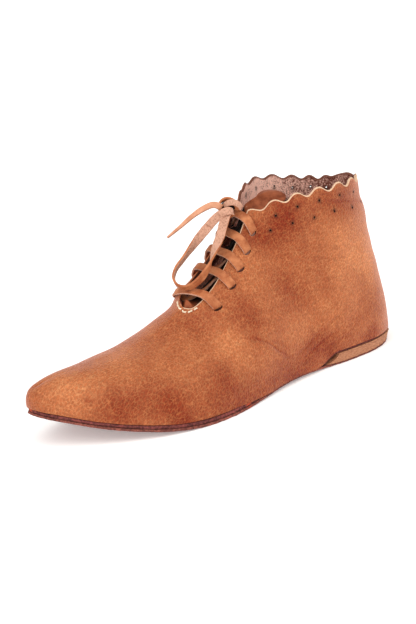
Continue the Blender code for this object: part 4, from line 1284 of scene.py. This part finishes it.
def make_loop(materials, knot):
    line, at, along = lace_line(LOOP_POINTS)
    share = at / at[-1]
    turn = smooth_step((share - LOOP_TURN_FROM) / LOOP_TURN_EASE) * smooth_step((LOOP_TURN_TO - share) / LOOP_BACK_EASE)
    turn = turn[:, None]
    inward = unit(KNOT_CENTRE + np.mean(LOOP_POINTS, axis=0) @ VIEW_AXES - line)
    flesh_faces = unit(LOOP_FACING) * (1.0 - turn) + (LOOP_INWARD * inward - LOOP_AWAY * VIEW_AXES[2]) * turn
    across = np.cross(along, unit(flesh_faces))
    loop = strip("thong_loop", line, across, loop_width(at, at[-1]), materials, LOOP_SEED)
    dress(loop, "thong_leather", "lace_loop")
    path = place(line)
    distances(path)[-1]


def make_end(materials):
    line, at, along = lace_line(END_POINTS)
    across = np.cross(along, unit(END_FACING))
    end = strip("thong_end", line, across, end_width(at, at[-1]), materials, END_SEED)
    dress(end, "thong_leather", "lace_end")
    path = place(line)
    distances(path)[-1]


def make_stitches(thread, upper):
    """Running stitches that hold the tongue round the throat's foot."""
    frames = [below_edge(THROAT_ROWS, side, along, STITCH_DROP) for side in STITCH_ALONGS
              for along in STITCH_ALONGS[side]]
    rim, normals, _ = np.array(frames).transpose(1, 0, 2)
    points = rim + STITCH_OUT * unit(np.cross(unit(np.gradient(rim, axis=0)), normals))
    keys = distances(points)
    share = np.linspace(0.0, 1.0, STITCH_RINGS)
    rise = STITCH_ARCH * np.sin(np.pi * share) ** STITCH_ARCH_POWER - STITCH_SUNK
    turns = np.linspace(0.0, 2 * np.pi, STITCH_SIDES, endpoint=False)[:, None]
    verts, faces = [], []
    for start in np.arange(STITCH_START, keys[-1] - STITCH_LENGTH, STITCH_PITCH):
        at = start + STITCH_LENGTH * share
        out = unit(spline(keys, normals, at))
        above = place(spline(keys, points, at) + STITCH_REACH * out).tolist()
        seats = np.array([upper.closest_point_on_mesh(point)[1] for point in above])
        line = seats / MM + ORIGIN + out * rise[:, None]
        across = unit(np.cross(unit(np.gradient(line, axis=0)), out))
        faces += ring_faces(STITCH_RINGS, STITCH_SIDES, len(verts))
        for middle, way, up in zip(line, across, out):
            verts += list(middle + STITCH_RADIUS * (np.cos(turns) * way + np.sin(turns) * up))
    stitches = mesh_piece("throat_stitches", verts, faces, [thread])
    face_out(stitches)
    return dress(stitches, "upper_leather")


def aim(item, axes, at=(0.0, 0.0, 0.0)):
    """Turns an object to its directions right, up and back, at a place in metres."""
    turn = np.eye(4)
    turn[:3, :3] = np.transpose(axes)
    turn[:3, 3] = at
    item.matrix_world = Matrix(turn.tolist())


def make_camera():
    data = bpy.data.cameras.new("camera")
    data.sensor_width = SENSOR
    data.lens = FOCAL_PIXELS / IMAGE_HEIGHT * SENSOR
    data.shift_x = (IMAGE_WIDTH / 2 - TARGET_PIXEL[0]) / IMAGE_HEIGHT
    data.shift_y = (TARGET_PIXEL[1] - IMAGE_HEIGHT / 2) / IMAGE_HEIGHT
    camera = put("camera", data)
    aim(camera, VIEW_AXES, place(VIEW_TARGET + VIEW_DISTANCE * VIEW_AXES[2]))
    bpy.context.scene.camera = camera


def make_light(name, towards, strength, spread):
    """A distant soft lamp that stands in the direction towards, seen from the shoe."""
    data = bpy.data.lights.new(name, "SUN")
    data.energy = strength
    data.angle = np.radians(spread)
    data.color = linear("#FFFBF6")[:3]
    back = unit(np.array(towards))
    right = unit(np.cross(UP, back))
    aim(put(name, data), (right, np.cross(back, right), back))


def make_studio():
    world = bpy.data.worlds.new("studio")
    bpy.context.scene.world = world
    world.use_nodes = True
    background = world.node_tree.nodes["Background"]
    background.inputs["Color"].default_value = linear("#FFFFFF")
    background.inputs["Strength"].default_value = WORLD_STRENGTH
    for lamp in LAMPS:
        make_light(*lamp)
    # The paper lies flat under the shoe and rises far round it, so that no horizon shows
    around = np.arange(PAPER_SIDES) * 2 * np.pi / PAPER_SIDES
    circle = np.column_stack([np.cos(around), np.sin(around), np.zeros(PAPER_SIDES)])
    middle = VIEW_TARGET * (1.0, 1.0, 0.0) - PAPER_GAP * UP
    rings = np.vstack([middle + PAPER_EDGE * circle + PAPER_RISE * UP, middle + PAPER_FLAT * circle])
    faces = ring_faces(2, PAPER_SIDES, closed_ends=False) + [list(range(PAPER_SIDES, 2 * PAPER_SIDES))]
    floor = mesh_piece("paper", rings, faces, [studio_paper()])
    bpy.context.scene.view_settings.view_transform = "Standard"


def main():
    make_camera()
    grain_thong = smooth_leather("tan thong leather", "#C47E54", "#9C5634")
    # A paler copy of the thong leather for the free end, which lies in the light: painted light
    lit_thong_copy = smooth_leather("thong leather painted lit", "#DAA080", "#C48868")
    nap_thong = flesh_side("thong flesh side", "#CD9C84", "#9C6E58")
    raw = cut_edge("raw cut edge", "#F0D6B8", "#B98560")
    soiled = cut_edge("soiled cut edge", "#86503C", "#4A281C")
    # Near-black cut for the walls of the slits and holes: painted shade
    black = cut_edge("black cut painted as shade", "#1E0F0B", "#0C0604")
    turned = [nap_thong, grain_thong, grain_thong]
    knot = make_knot(turned, grain_thong)
    make_loop(turned, knot)
    make_end([lit_thong_copy, lit_thong_copy, nap_thong])
    make_bars([grain_thong, grain_thong, nap_thong])
    upper = make_upper(waxed_grain_leather(), flesh_side("upper flesh side", "#FFCDBA", "#6E382B"), raw, soiled, black)
    make_tongue(smooth_leather("smooth tongue leather", "#9A5434", "#70351C"), nap_thong, soiled)
    make_sole(worn_sole_leather("dark turn sole leather", "#9C4E46", "#481C1A"),
              worn_sole_leather("worn outsole leather", "#A8604F", "#5A2A24"), lift_leather())
    make_stitches(waxed_thread(), upper)
    make_studio()


main()
bpy.context.view_layer.update()
